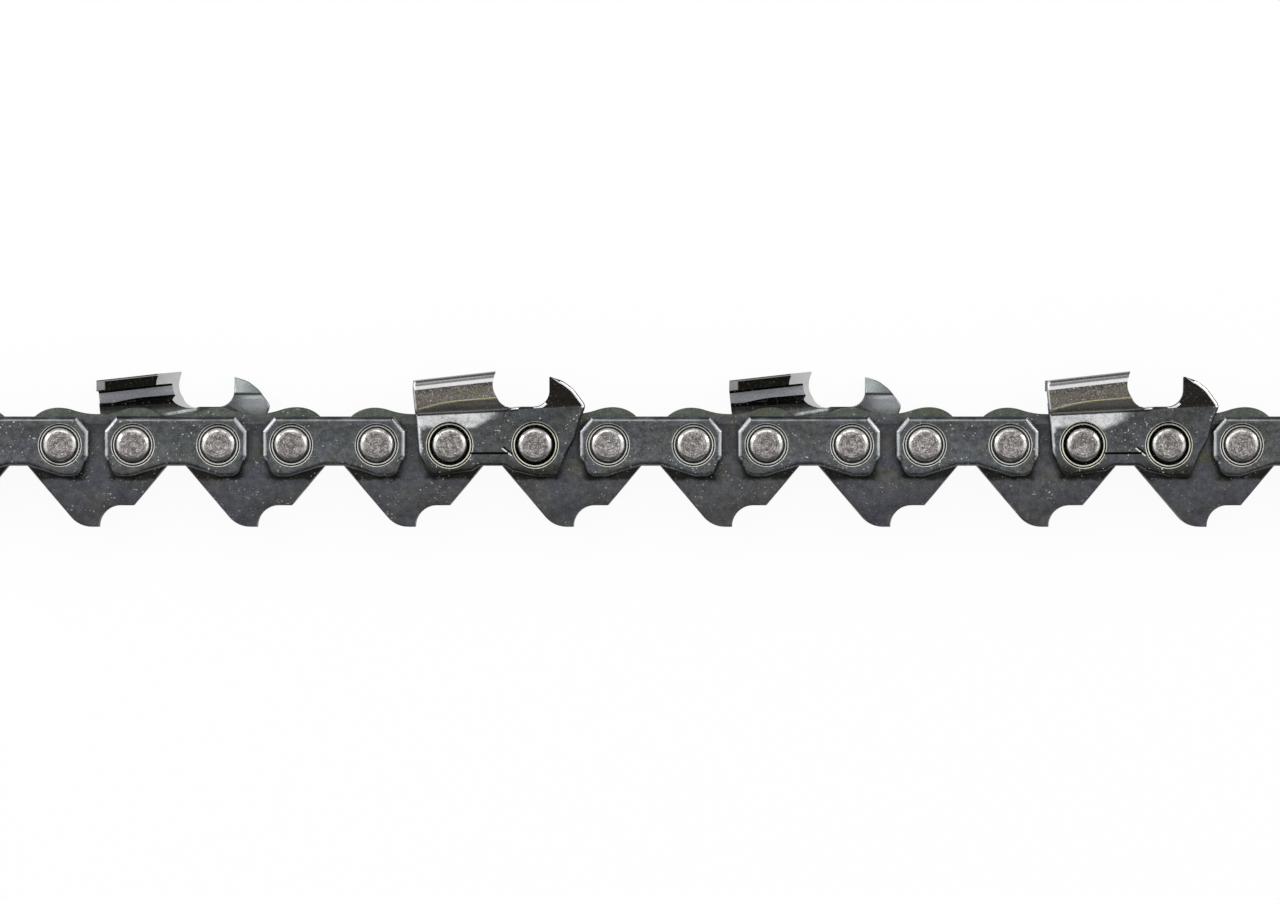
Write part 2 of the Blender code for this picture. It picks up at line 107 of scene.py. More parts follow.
MIDDLE_RIVETS = pair_rivets("right_tie_strap_04")
STRAP_SPAN = max(MIDDLE_RIVETS) - min(MIDDLE_RIVETS)
LINK_SPAN = box_center_x("drive_link_06") - box_center_x("drive_link_05") - STRAP_SPAN
PIN = STRAP_SPAN / 2  # from the middle of a plate to each of its rivets

# drive link
LINK_HOLE = 2.38 * MM
LINK_END = 4.45 * MM  # radius round each rivet
LINK_END_START, LINK_END_TURN, LINK_END_STEPS = 70, 125, 24  # degrees, and points
NOSE_ANGLE, NOSE_SPREAD = 133, 1.43  # where an end is fuller than round, and how narrowly
REAR_FULLNESS, FRONT_FULLNESS = 0.22 * MM, 0.40 * MM
LINK_SHOULDER, SHOULDER_ANGLE = 4.75 * MM, 211  # radius round the rivet, and degrees
SHOULDER_ROUND = 0.5 * MM
LINK_DIP, DIP_STEPS = 3.73 * MM, 6  # top edge midway between the rivets, points to each side

# rivet and the coined rings round it
HEAD_SEAT = 0.14 * MM  # how far the head sits below the plate's face
HUB_RADIUS, FLANGE_RADIUS, FLANGE_HALF = 1.6 * MM, 2.3 * MM, 0.8 * MM
HOLE_RADIUS = 1.66 * MM
RING_DEPTH = 0.2 * MM
BEAD_INSET = 0.24 * MM
STRAP_RING_LIMIT = 2.6 * MM  # wider rings are the cutters', whose grooves are black

# cutter
BODY_BOTTOM = -6 * MM  # of the sections, below every outline
BLANK_REAR, TOOTH_END, BLANK_FRONT = -10.6 * MM, 1.8 * MM, 12.3 * MM
GAUGE_BLEND = 1.5 * MM  # length over which the tooth's section turns into the gauge's
TOOTH_REAR = -9.56 * MM
STATION_START, STATION_STEP, STATION_COUNT = -9.5, 0.75, 9  # sections along the bend, in mm
SIDE_REAR, SIDE_FRONT = 1.0 * MM, 1.35 * MM  # how far the side plate stands out of the body
TOP_WIDTH = 4.9 * MM
TOOTH_GAUGE = 1.3 * MM
CORNER_STEPS = 8
CORNER_DROP = 0.45  # how far the corner leans in, as a share of its height
STEP_LINE = (4.14, 0.05)  # lines along the tooth: height at the middle in mm, and rise
CORNER_LINE = (7.62, 0.11)
TOP_LINE = (8.83, 0.112)
GAUGE_LEAN = math.radians(16)
GAUGE_NORMAL = Vector((0, -math.sin(GAUGE_LEAN), math.cos(GAUGE_LEAN)))
GAUGE_TOP, GAUGE_CREASE = 9.25 * MM, 6.19 * MM
GAUGE_OUTER_POINTS = 15
FILE_RADIUS = 2.778 * MM
FILE_ANGLE = math.radians(28)
FILE_PLACE = Vector((3.24 * MM, 7.25 * MM, PLATE_OUT + SIDE_FRONT))
FILE_AXIS = Vector((math.sin(FILE_ANGLE), 0, math.cos(FILE_ANGLE)))
POCKET_DEPTH = 0.22 * MM

FLAT = 0.98  # least part along Z of the normal of a flat face
STANDING = 0.12  # greatest part along Z of the normal of a wall
LOW_RIM = -1.7 * MM  # below this a plate's rounded rim is as dark as its face
CORNER_BAND = 1.23 * MM  # height of the tooth's bright rounded corner

# finishes of faces, in the order of the material slots
FACE, END_RIM, LONG_RIM, RING, WALL, LINE = range(6)
FLARE, CORNER, TOP, GAUGE, INSIDE, FILED, SIDE, BEND, GAUGE_IN, SHADOW, EDGE, BODY_IN, BRIGHT = range(6, 19)


def length(name, description, size):
    """Length property, with its default in millimetres."""
    return FloatProperty(name=name, description=description, default=size * MM, unit="LENGTH")


def colour(name, description, default):
    return FloatVectorProperty(name=name, description=description, subtype="COLOR", default=default)


class SawChainSizes(bpy.types.PropertyGroup):
    """Sizes of the fine shapes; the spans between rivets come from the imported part."""

    edge_roll: length("Rolled edge", "Width of the rim that stamping rounds on a plate's outer face", 0.55)
    cutter_roll: length("Cutter rim", "Width of the rounded rim on a cutter's outer face", 0.40)
    link_edge: length("Drive link edge", "Width of the broken edge round a drive link", 0.12)
    head_radius: length("Rivet head radius", "Radius of a peened rivet head", 2.14)
    strap_ring: length("Tie strap ring radius", "Radius of the ring pressed into a strap round a head", 2.52)
    cutter_ring: length("Cutter ring radius", "Radius of the ring pressed into a cutter round a head", 2.74)
    round_sides: IntProperty(
        name="Round sides",
        description="Number of facets round a rivet head or a hole",
        default=56,
        min=16,
        max=128,
    )
    lamp_level: FloatProperty(
        name="Lamp level",
        description="Common factor on the power of the studio lamps",
        default=1.0,
        min=0.0,
    )


class SawChainColours(bpy.types.PropertyGroup):
    """Colours of the steels, as linear values."""

    link_steel: colour("Drive link steel", "Oiled dark steel of the drive links", (0.100, 0.102, 0.116))
    link_stain: colour("Drive link stain", "Olive oil stain on the drive links", (0.110, 0.111, 0.108))
    strap_steel: colour("Plate steel", "Blued steel of the plates and cutter bodies", (0.124, 0.134, 0.142))
    strap_stain: colour("Plate stain", "Warm temper stain on the plates", (0.122, 0.126, 0.122))
    # the worn edge colour also serves as the painted highlight on the plates' end rims
    worn_edge: colour("Worn edge", "Bare steel where rims have rubbed bright", (0.66, 0.67, 0.68))
    chrome: colour("Tooth chrome", "Hard chrome on the tooth's side and top plate", (0.215, 0.195, 0.175))
    rivet: colour("Rivet steel", "Bright steel of the rivet heads", (0.60, 0.59, 0.57))


def polar(center, radius, angle):
    return (center[0] + radius * math.cos(angle), center[1] + radius * math.sin(angle))


def rounded(corners):
    """Outline through corners (x, y, radius), each corner replaced by an arc of its radius."""
    points = []
    for index, (x, y, radius) in enumerate(corners):
        here = Vector((x, y))
        if not radius:
            points.append((x, y))
            continue
        before = (Vector(corners[index - 1][:2]) - here).normalized()
        after = (Vector(corners[(index + 1) % len(corners)][:2]) - here).normalized()
        opening = before.angle(after)
        center = here + (before + after).normalized() * radius / math.sin(opening / 2)
        first = here + before * radius / math.tan(opening / 2) - center
        turn = first.angle_signed(here + after * radius / math.tan(opening / 2) - center)
        steps = max(2, round(abs(turn) / ARC_STEP))
        for step in range(steps + 1):
            points.append(tuple(center + Matrix.Rotation(-turn * step / steps, 2) @ first))
    return points


def corners_from(rows):
    """Corners from rows (rivet, x, y, radius) in mm; rivet is -1 or 1 where x counts from a rivet."""
    return [(rivet * PIN + x * MM, y * MM, radius * MM) for rivet, x, y, radius in rows]


def link_end(fullness):
    """End of a drive link round its rivet, a little fuller than round at the upper nose."""
    points = []
    for step in range(LINK_END_STEPS + 1):
        angle = math.radians(LINK_END_START + LINK_END_TURN * step / LINK_END_STEPS)
        bulge = max(0.0, math.cos((angle - math.radians(NOSE_ANGLE)) * NOSE_SPREAD)) ** 2
        points.append(polar((-LINK_SPAN / 2, 0), LINK_END + fullness * bulge, angle))
    return points


def link_outline():
    rear = link_end(REAR_FULLNESS)
    front = [(-x, y) for x, y in reversed(link_end(FRONT_FULLNESS))]
    shoulder = polar((-LINK_SPAN / 2, 0), LINK_SHOULDER, math.radians(SHOULDER_ANGLE))
    hump = rear[0]
    dip = []
    for step in range(1, 2 * DIP_STEPS):
        part = 1 - step / DIP_STEPS
        dip.append((-hump[0] * part, LINK_DIP + (hump[1] - LINK_DIP) * part * part))
    tang = corners_from(
        [
            (0, -2.15, -9.86, 3.3),
            (0, 0.28, -9.86, 0.06),
            (0, 0.28, -7.27, 2.5),
            (0, 4.4, -7.27, 0.2),
        ]
    )
    lower = [
        (*rear[-1], 0),
        (*shoulder, SHOULDER_ROUND),
        *tang,
        (-shoulder[0], shoulder[1], SHOULDER_ROUND),
        (*front[0], 0),
    ]
    return rear[:-1] + rounded(lower) + front[1:] + dip


def strap_outline():
    half = corners_from(
        [
            (0, 1.3, -2.5, 1.5),
            (1, 0.16, -3.82, 1.2),
            (1, 2.31, -3.82, 1.3),
            (1, 3.06, -1.95, 0.5),
            (1, 3.51, -1.4, 0.35),
            (1, 3.51, 1.67, 0.35),
            (1, 2.01, 3.44, 0.35),
        ]
    )
    return rounded(half + [(-x, y, radius) for x, y, radius in reversed(half)])


def cutter_outline():
    """Side view of the cutter blank, open above the tooth, whose top the section shapes."""
    heel = [
        (0, -9.56, 12, 0),
        (0, -9.56, 6.49, 1.5),
        (-1, -3.95, 2.0, 2),
        (-1, -3.75, -0.9, 1.5),
        (-1, -2.31, -3.82, 1.3),
    ]
    belly = [
        (0, -2.45, -3.12, 0.5),
        (0, -1.5, -2.5, 0.5),
        (0, 1.5, -2.5, 0.5),
        (0, 2.45, -3.12, 0.5),
        (1, 0.16, -3.82, 1.2),
        (1, 2.61, -3.82, 0.6),
    ]
    front = [
        (1, 3.66, -1.25, 2),
        (1, 4.76, 0.69, 2),
        (1, 5.16, 2.4, 2),
    ]
    gauge = [
        (0, 11.25, 4.75, 0.9),
        (0, 9.75, 6.75, 3),
        (0, 8.5, 7.7, 2),
        (0, 6.86, 8.25, 0.12),
        (0, 6.86, 4.62, 1.9),
        (0, 1.5, 4.62, 0),
        (0, 1.5, 12, 0),
    ]
    return rounded(corners_from(heel + belly + front + gauge))


def temporary(name, mesh):
    thing = bpy.data.objects.new(name, mesh)
    bpy.context.scene.collection.objects.link(thing)
    return thing


def evaluated_mesh(thing):
    bpy.context.view_layer.update()
    evaluated = thing.evaluated_get(bpy.context.evaluated_depsgraph_get())
    return bpy.data.meshes.new_from_object(evaluated)


def applied(thing):
    """Mesh of an object with its modifiers applied; the object goes."""
    mesh = evaluated_mesh(thing)
    mesh.name = thing.name
    bpy.data.objects.remove(thing)
    return mesh


def mesh_from(shape, name):
    """Mesh of a bmesh, which is freed."""
    mesh = bpy.data.meshes.new(name)
    shape.to_mesh(mesh)
    shape.free()
    return mesh


def flat_mesh(name, outlines, bottom, top, edge=0.0, edge_steps=0):
    """Plate between two Z values, with rounded rims; outlines after the first are holes."""
    curve = bpy.data.curves.new(name, "CURVE")
    curve.dimensions = "2D"
    curve.fill_mode = "BOTH"
    curve.extrude = (top - bottom) / 2 - edge
    curve.bevel_depth = edge
    curve.bevel_resolution = edge_steps
    curve.offset = -edge
    for outline in outlines:
        spline = curve.splines.new("POLY")
        spline.points.add(len(outline) - 1)
        spline.use_cyclic_u = True
        for point, (x, y) in zip(spline.points, outline):
            point.co = (x, y, 0, 1)
    drawn = temporary(name + "_drawn", curve)
    mesh = evaluated_mesh(drawn)
    mesh.name = name
    mesh.transform(Matrix.Translation((0, 0, (top + bottom) / 2)))
    bpy.data.objects.remove(drawn)
    bpy.data.curves.remove(curve)
    shape = bmesh.new()
    shape.from_mesh(mesh)
    bmesh.ops.remove_doubles(shape, verts=shape.verts, dist=0.0001 * MM)
    bmesh.ops.recalc_face_normals(shape, faces=shape.faces)
    shape.to_mesh(mesh)
    shape.free()
    return mesh


def turned_object(name, profile, sides):
    """Solid of revolution about Z from a profile (radius, z) that runs top to bottom."""
    mesh = bpy.data.meshes.new(name)
    points = [(radius, 0, z) for radius, z in profile]
    mesh.from_pydata(points, [(i, i + 1) for i in range(len(points) - 1)], [])
    thing = temporary(name, mesh)
    screw = thing.modifiers.new("turn", "SCREW")
    screw.axis = "Z"
    screw.steps = sides
    screw.render_steps = sides
    screw.use_merge_vertices = True
    screw.merge_threshold = 0.0001 * MM
    return thing


def cut(thing, tools, operation="DIFFERENCE"):
    for tool in tools:
        modifier = thing.modifiers.new(tool.name, "BOOLEAN")
        modifier.operation = operation
        modifier.solver = "EXACT"
        modifier.object = tool


def smooth(mesh, degrees, crisp=()):
    """Smooth shading with sharp edges above an angle and round faces of the crisp finishes."""
    mesh.shade_smooth()
    mesh.set_sharp_from_angle(angle=math.radians(degrees))
    finishes = {}
    for face in mesh.polygons:
        for key in face.edge_keys:
            finishes.setdefault(key, set()).add(face.material_index)
    for edge in mesh.edges:
        found = finishes.get(edge.key, ())
        if len(found) > 1 and any(finish in crisp for finish in found):
            edge.use_edge_sharp = True


def rivet_drills(sizes, ring):
    """Stepped tools for both rivet holes: coined ring, bead and the groove round the head."""
    floor = PLATE_OUT - RING_DEPTH
    bead = ring - BEAD_INSET
    ring_steps = ((0.35, 1), (0.14, 0.01), (0.03, -0.03), (0, -0.12))
    bead_steps = ((0.13, 0), (0.10, 0.15), (0.07, 0.19), (-0.05, 0.165), (-0.07, 0.02), (-0.08, -0.18))
    profile = [(0, PLATE_OUT + 1 * MM)]
    profile += [(ring + across * MM, PLATE_OUT + up * MM) for across, up in ring_steps]
    profile.append((ring - 0.05 * MM, floor))
    profile += [(bead + across * MM, floor + up * MM) for across, up in bead_steps]
    profile += [(HOLE_RADIUS, floor - 0.18 * MM), (HOLE_RADIUS, PLATE_IN - 1 * MM), (0, PLATE_IN - 1 * MM)]
    tools = []
    for index, x in enumerate((-PIN, PIN)):
        tool = turned_object(f"rivet_drill_{index}", profile, sizes.round_sides)
        tool.location.x = x
        tools.append(tool)
    return tools


class Nodes:
    """Short ways to add and link nodes in one node tree."""

    def __init__(self, tree):
        self.tree = tree

    def node(self, kind, inputs=None, **values):
        made = self.tree.nodes.new(kind)
        for key, value in values.items():
            setattr(made, key, value)
        for key, value in (inputs or {}).items():
            self.feed(made.inputs[key], value)
        return made

    def feed(self, socket, value):
        """Links a value into a socket, or sets the socket to a number, vector or colour."""
        if isinstance(value, bpy.types.NodeSocket):
            self.tree.links.new(value, socket)
        elif isinstance(value, (int, float)):
            socket.default_value = value
        else:
            socket.default_value = (*value, 1) if len(socket.default_value) == 4 else value

    def band(self, value, low, high, to_low=0.0, to_high=1.0):
        """Smooth step from low to high, mapped to another range."""
        inputs = {"Value": value, "From Min": low, "From Max": high, "To Min": to_low, "To Max": to_high}
        return self.node("ShaderNodeMapRange", inputs, interpolation_type="SMOOTHSTEP").outputs["Result"]

    def math(self, operation, *values):
        return self.node("ShaderNodeMath", dict(enumerate(values)), operation=operation).outputs[0]

    def product(self, first, *others):
        for other in others:
            first = self.math("MULTIPLY", first, other)
        return first

    def total(self, first, second):
        return self.math("ADD", first, second)


class NodeBench(Nodes):
    """Nodes of one steel, with the places on the piece that its textures and zones follow."""

    def __init__(self, name, hue):
        self.hue = hue
        self.material = bpy.data.materials.new(name)
        self.material.use_nodes = True
        super().__init__(self.material.node_tree)
        self.shader = self.tree.nodes["Principled BSDF"]
        spot = self.node("ShaderNodeTexCoord").outputs["Object"]
        axes = self.node("ShaderNodeSeparateXYZ", {0: spot}).outputs
        self.x, self.y = axes[0], axes[1]
        # a random step, so that no two pieces have the same grain
        step = {0: self.node("ShaderNodeObjectInfo").outputs["Random"], 1: (0.9, 1.7, 0.6), 2: spot}
        self.place = self.node("ShaderNodeVectorMath", step, operation="MULTIPLY_ADD").outputs[0]

    def noise(self, scale, detail, roughness, stretch=None):
        place = self.place
        if stretch:
            place = self.node("ShaderNodeMapping", {"Vector": place, "Scale": stretch}).outputs[0]
        inputs = {"Vector": place, "Scale": scale, "Detail": detail, "Roughness": roughness}
        return self.node("ShaderNodeTexNoise", inputs).outputs["Fac"]

    def zone(self, value, low, high, to_low=0.0, to_high=1.0):
        """Smooth step between two places, in millimetres."""
        return self.band(value, low * MM, high * MM, to_low, to_high)

    def wander(self, scale, detail, roughness, reach):
        """Length in millimetres that wanders either way, for ragged borders."""
        return self.band(self.noise(scale, detail, roughness), 0.3, 0.7, -reach * MM, reach * MM)

    def slant(self, rise):
        """Height above a line through the piece's middle that rises towards the front."""
        return self.math("SUBTRACT", self.y, self.product(self.x, rise))

    def mix(self, cover, below, above):
        return self.node("ShaderNodeMix", {0: cover, 6: below, 7: above}, data_type="RGBA").outputs[2]

    def paint(self, cover, hue):
        """Lays a colour over the steel's, as thick as cover says."""
        self.hue = self.mix(cover, self.hue, hue)

    def shade(self, value, dark, bright):
        """Multiplies the steel's colour by a grey that follows a texture value."""
        level = self.band(value, 0.30, 0.72, dark, bright)
        grey = self.node("ShaderNodeCombineXYZ", {0: level, 1: level, 2: level}).outputs[0]
        self.hue = self.node("ShaderNodeVectorMath", {0: self.hue, 1: grey}, operation="MULTIPLY").outputs[0]

    def bump(self, height, distance, strength):
        """Relief from a texture value, with its full height in millimetres."""
        inputs = {"Height": height, "Distance": distance * MM, "Strength": strength}
        self.feed(self.shader.inputs["Normal"], self.node("ShaderNodeBump", inputs).outputs[0])

    def finish(self, roughness):
        for name, value in (("Base Color", self.hue), ("Roughness", roughness), ("Metallic", 1.0)):
            self.feed(self.shader.inputs[name], value)
        return self.material


def times(hue, factor):
    return tuple(channel * factor for channel in hue)


def steel_face(name, steel, stain, sheen, speck=0.5, rough=0.40, contrast=1.0, zones=()):
    """Dark stamped steel: cloudy temper colours, oil stains, tumbling grain and bright specks.

    zones are functions that take the bench and paint a part of the face.
    """
    bench = NodeBench(name, steel)
    bench.paint(bench.band(bench.noise(230, 4.0, 0.6), 0.38, 0.66), stain)
    bench.paint(bench.band(bench.noise(150, 3.0, 0.5), 0.50, 0.70, 0.0, 0.4), sheen)
    for zone in zones:
        zone(bench)
    bench.shade(bench.noise(1300, 5.0, 0.65), 1 - 0.38 * contrast, 1 + 0.38 * contrast)
    grain = bench.noise(6200, 3.0, 0.7)
    bench.shade(grain, 1 - 0.34 * contrast, 1 + 0.36 * contrast)
    specks = bench.band(bench.noise(4100, 0.0, 0.5), 0.73, 0.79)
    specks = bench.product(specks, bench.band(bench.noise(520, 2.0, 0.5), 0.44, 0.62, 0.15, 1.0))
    bench.paint(bench.product(specks, speck), (0.82, 0.82, 0.78))
    roughness = bench.band(bench.noise(700, 3.0, 0.6), 0.3, 0.7, rough - 0.09, rough + 0.12)
    bench.bump(bench.total(grain, bench.product(specks, 1.2)), 0.022, 0.6)
    return bench.finish(roughness)


def rubbed_rim(name, dark, bright, cover=0.5, rough=0.28):
    """Rim that rubbing has worn bright in stretches, dark where the oxide still holds; several callers give
    it painted highlights and painted shade as colours.
    """
    bench = NodeBench(name, dark)
    wear = bench.band(bench.noise(420, 4.0, 0.6), cover - 0.16, cover + 0.14)
    wear = bench.product(wear, bench.band(bench.noise(4200, 3.0, 0.6), 0.25, 0.65, 0.55, 1.0))
    bench.paint(wear, bright)
    roughness = bench.band(bench.noise(2600, 2.0, 0.5), 0.3, 0.7, rough - 0.06, rough + 0.12)
    bench.bump(bench.noise(5200, 3.0, 0.6), 0.015, 0.5)
    return bench.finish(roughness)


def grainy_chrome(name, base, tints, grain=1.0, rough=0.36, zones=()):
    """Hard chrome on the tooth: sugar-like grain and drawn streaks along the plate."""
    bench = NodeBench(name, tints[0])
    bench.paint(bench.band(bench.noise(900, 4.0, 0.6, (0.12, 1.0, 1.0)), 0.35, 0.65), tints[1])
    bench.paint(0.5, base)
    for zone in zones:
        zone(bench)
    grains = bench.noise(5600, 3.0, 0.7)
    bench.shade(grains, 1 - 0.65 * grain, 1 + 0.75 * grain)
    sparks = bench.band(bench.noise(5000, 0.0, 0.5), 0.72, 0.79, 0.0, 0.6 * grain)
    bench.paint(sparks, (0.85, 0.85, 0.83))
    roughness = bench.band(grains, 0.3, 0.7, rough - 0.08, rough + 0.14)
    bench.bump(grains, 0.03, 0.55 * grain)
    return bench.finish(roughness)


def rivet_steel(name, hue):
    """Peened head: bright rounded shoulder, a mottled brown centre with spun marks, and painted shade round
    its edge and on its lower side.
    """
    bench = NodeBench(name, hue)
    square = bench.total(bench.math("POWER", bench.x, 2.0), bench.math("POWER", bench.y, 2.0))
    radius = bench.math("SQRT", square)
    wavy = bench.total(radius, bench.wander(800, 2.0, 0.5, 0.10))
    spun = bench.math("SINE", bench.product(wavy, 21000.0))
    core = bench.zone(wavy, 1.72, 1.40)
    blotch = bench.noise(1900, 4.0, 0.7)
    bench.paint(bench.product(core, 0.9), (0.33, 0.305, 0.295))
    light = bench.product(bench.band(blotch, 0.50, 0.60), core, 0.75)
    bench.paint(light, (0.60, 0.58, 0.57))
    dull = bench.product(bench.band(blotch, 0.50, 0.40), bench.zone(radius, 2.0, 1.4, 0.15, 0.50))
    bench.paint(dull, (0.055, 0.038, 0.040))
    bench.paint(bench.product(bench.band(spun, 0.1, 0.9), core, 0.50), (0.085, 0.070, 0.066))
    speckle = bench.band(bench.noise(5200, 2.0, 0.6), 0.56, 0.66)
    speckle = bench.product(speckle, bench.zone(radius, 1.9, 1.3, 0.3, 0.8))
    bench.paint(speckle, (0.055, 0.04, 0.036))
    glints = bench.product(bench.band(bench.noise(4300, 1.0, 0.5), 0.62, 0.70, 0.0, 0.8), core)
    bench.paint(glints, (0.85, 0.83, 0.80))
    # painted shade on the lower side of the head's edge and in a dark ring round it
    rim_shade = bench.product(bench.zone(radius, 1.80, 1.98), bench.zone(bench.y, 0.2, -0.9))
    rim_shade = bench.math("MAXIMUM", rim_shade, bench.zone(radius, 1.94, 2.06))
    bench.paint(bench.product(rim_shade, 0.95), (0.016, 0.013, 0.011))
    bench.bump(bench.total(bench.noise(3000, 3.0, 0.65), bench.product(spun, 0.12)), 0.05, 0.7)
    return bench.finish(bench.band(core, 0.0, 1.0, 0.20, 0.42))


def link_oil_and_painted_light(bench):
    """Painted greenish highlight along a drive link's humps, olive oil stains above its tang, and painted
    black shadow just below the side plates.
    """
    level = bench.total(bench.y, bench.wander(900, 3.0, 0.6, 0.15))
    # painted greenish highlight along the humps
    bench.paint(bench.zone(bench.y, 3.25, 3.7, 0.0, 0.75), (0.112, 0.130, 0.106))
    olive = bench.band(bench.noise(330, 2.0, 0.5), 0.56, 0.70, 0.0, 0.45)
    bench.paint(bench.product(olive, bench.zone(level, -5.4, -4.4)), (0.095, 0.100, 0.040))
    beside = bench.zone(bench.math("ABSOLUTE", bench.x), 0.9, 2.0)
    # painted shadow: black just below the feet of the side plates, away from the link's middle
    painted_shadow = bench.product(bench.zone(level, -4.40, -3.95, 0.0, 0.92), beside, bench.zone(bench.y, 3.2, 2.6))
    bench.paint(painted_shadow, (0.018, 0.018, 0.015))


def painted_highlight_patch(bench):
    """Painted highlight: a pale field over a cutter's rear rivet, which ends in a slant towards the front,
    and a pale band down the rear edge.
    """
    ragged = bench.wander(700, 3.0, 0.55, 0.16)
    rise = bench.math("MAXIMUM", bench.total(bench.x, 2.6 * MM), 0.0)
    slant = bench.math("SUBTRACT", bench.y, bench.product(rise, 0.42))
    upper = bench.product(bench.zone(bench.total(slant, ragged), 1.70, 2.45), bench.zone(bench.x, 1.3, -1.9))
    rear = bench.zone(bench.total(bench.x, ragged), -8.35, -8.8, 0.0, 0.85)
    field = bench.math("MAXIMUM", upper, bench.product(rear, bench.zone(bench.y, -1.9, -0.6)))
    bench.paint(bench.product(field, 0.97), (0.97, 0.98, 1.0))


def painted_crease_and_foot_shade(bench):
    """Painted shadow in a black line at the foot of the flare, and painted shade growing towards a cutter's
    lower rim.
    """
    line = bench.product(bench.zone(bench.slant(0.05), 3.86, 3.97, 0.0, 0.92), bench.zone(bench.x, 3.4, 2.4))
    bench.paint(line, (0.012, 0.012, 0.012))
    bench.paint(bench.zone(bench.y, -1.5, -3.3, 0.0, 0.85), (0.030, 0.030, 0.022))


def inner_shade(bench):
    """Inner face of a cutter's body: painted black shadow below the flare, grey under it, and a pale crescent
    of painted highlight.
    """
    pale = bench.product(bench.zone(bench.x, -10.5, -5.0, 0.6, 1.0), bench.zone(bench.x, 3.4, 1.8), 0.85)
    bench.paint(pale, (0.17, 0.175, 0.165))
    bench.paint(bench.zone(bench.slant(0.05), 4.1, 4.8, 0.0, 0.9), (0.014, 0.014, 0.013))
    away = bench.math("ABSOLUTE", bench.math("SUBTRACT", bench.slant(0.17), 3.95 * MM))
    ends = bench.product(bench.zone(bench.x, -2.1, -0.6), bench.zone(bench.x, 2.6, 2.1))
    bench.paint(bench.product(bench.zone(away, 0.24, 0.10), ends), (0.58, 0.64, 0.62))


def painted_reflection_bands(bench):
    """Painted reflections: white, grey and dark lines along the tooth's rounded corner."""
    height = bench.slant(0.112)
    bench.paint(bench.zone(height, 7.98, 8.12), (0.24, 0.24, 0.25))
    bench.paint(bench.zone(height, 8.40, 8.48), (0.05, 0.05, 0.052))
    bench.paint(bench.zone(height, 8.62, 8.68), (0.36, 0.36, 0.37))


def sooty_top(bench):
    """Speckled strip below the bright corner, and an olive cast along the side plate's middle."""
    height = bench.slant(0.112)
    mottle = bench.band(bench.noise(3200, 3.0, 0.7), 0.44, 0.58)
    bench.paint(bench.product(bench.zone(height, 6.85, 7.35), mottle, 0.8), (0.05, 0.048, 0.05))
    middle = bench.product(bench.zone(height, 6.1, 6.6), bench.zone(height, 7.2, 6.9))
    cast = bench.product(middle, bench.band(bench.noise(300, 2.0, 0.5), 0.42, 0.60, 0.0, 0.6))
    bench.paint(cast, (0.15, 0.15, 0.085))


def flare_lines(bench):
    """Painted highlight on the flare's upper part and in a thin light line just above the black one at its
    foot, which is painted shadow.
    """
    crease = bench.slant(0.05)
    line = bench.product(bench.zone(crease, 4.10, 4.17), bench.zone(crease, 4.36, 4.26), 0.8)
    bench.paint(bench.zone(crease, 4.45, 5.15, 0.0, 0.65), (0.37, 0.36, 0.33))
    bench.paint(line, (0.75, 0.75, 0.75))
    bench.paint(bench.zone(crease, 4.14, 4.06, 0.0, 0.95), (0.008, 0.008, 0.008))


def pocket_soot(bench):
    """Sooty black in the pocket of the top plate's inner edge; its frame stays bright."""
    pocket = bench.product(bench.zone(bench.slant(0.112), 8.65, 8.58), bench.zone(bench.x, -8.62, -8.50))
    olive = bench.band(bench.noise(2600, 3.0, 0.6), 0.56, 0.70)
    bench.paint(pocket, bench.mix(olive, (0.010, 0.010, 0.008), (0.036, 0.033, 0.020)))


def gauge_swell(bench):
    """Depth gauge from inside: pale above a crease darkened by painted shade, a painted highlight on the
    swelling, and painted shade towards the bottom.
    """
    bench.paint(bench.zone(bench.x, 6.6, 8.8, 0.0, 0.85), (0.31, 0.325, 0.335))
    bench.paint(bench.zone(bench.y, 4.7, 4.0, 0.0, 0.45), (0.08, 0.085, 0.085))
    pale = bench.mix(bench.zone(bench.x, 6.9, 9.6), (0.36, 0.40, 0.39), (0.17, 0.19, 0.19))
    bench.paint(bench.zone(bench.y, 6.28, 6.40), pale)
    crease = bench.product(bench.zone(bench.y, 5.92, 6.08), bench.zone(bench.y, 6.40, 6.26), 0.92)
    bench.paint(crease, (0.02, 0.025, 0.025))


def plate_materials(name, colours, ring, zones=(), shade=1.0):
    """Face, worn end rims with a painted highlight, long rims and edge wall in painted shade, coined ring and
    a painted highlight line of a plate.
    """
    steel, stain = times(colours.strap_steel, shade), times(colours.strap_stain, shade)
    bright = times(colours.worn_edge, 0.75)
    return (
        steel_face(name + "_face", steel, stain, (0.112, 0.114, 0.148), 0.8, 0.38, 0.85, zones),
        # end rims are worn steel with a painted highlight; long rims are painted shade
        rubbed_rim(name + "_end_rim", (0.30, 0.31, 0.33), bright, 0.42, 0.30),
        rubbed_rim(name + "_long_rim", (0.040, 0.042, 0.044), (0.11, 0.115, 0.12), 0.58, 0.42),
        rubbed_rim(name + "_ring", times(ring, 0.5), ring, 0.40, 0.28),
        # the wall is the face's steel darkened as painted shade
        steel_face(name + "_wall", times(steel, 0.35), times(stain, 0.35), (0.04, 0.04, 0.05), 0.2, 0.5),
        # the line is a painted highlight along the inner edge of the rolled top rim
        rubbed_rim(name + "_line", times(steel, 1.5), (0.44, 0.46, 0.47), 0.46, 0.30),
    )


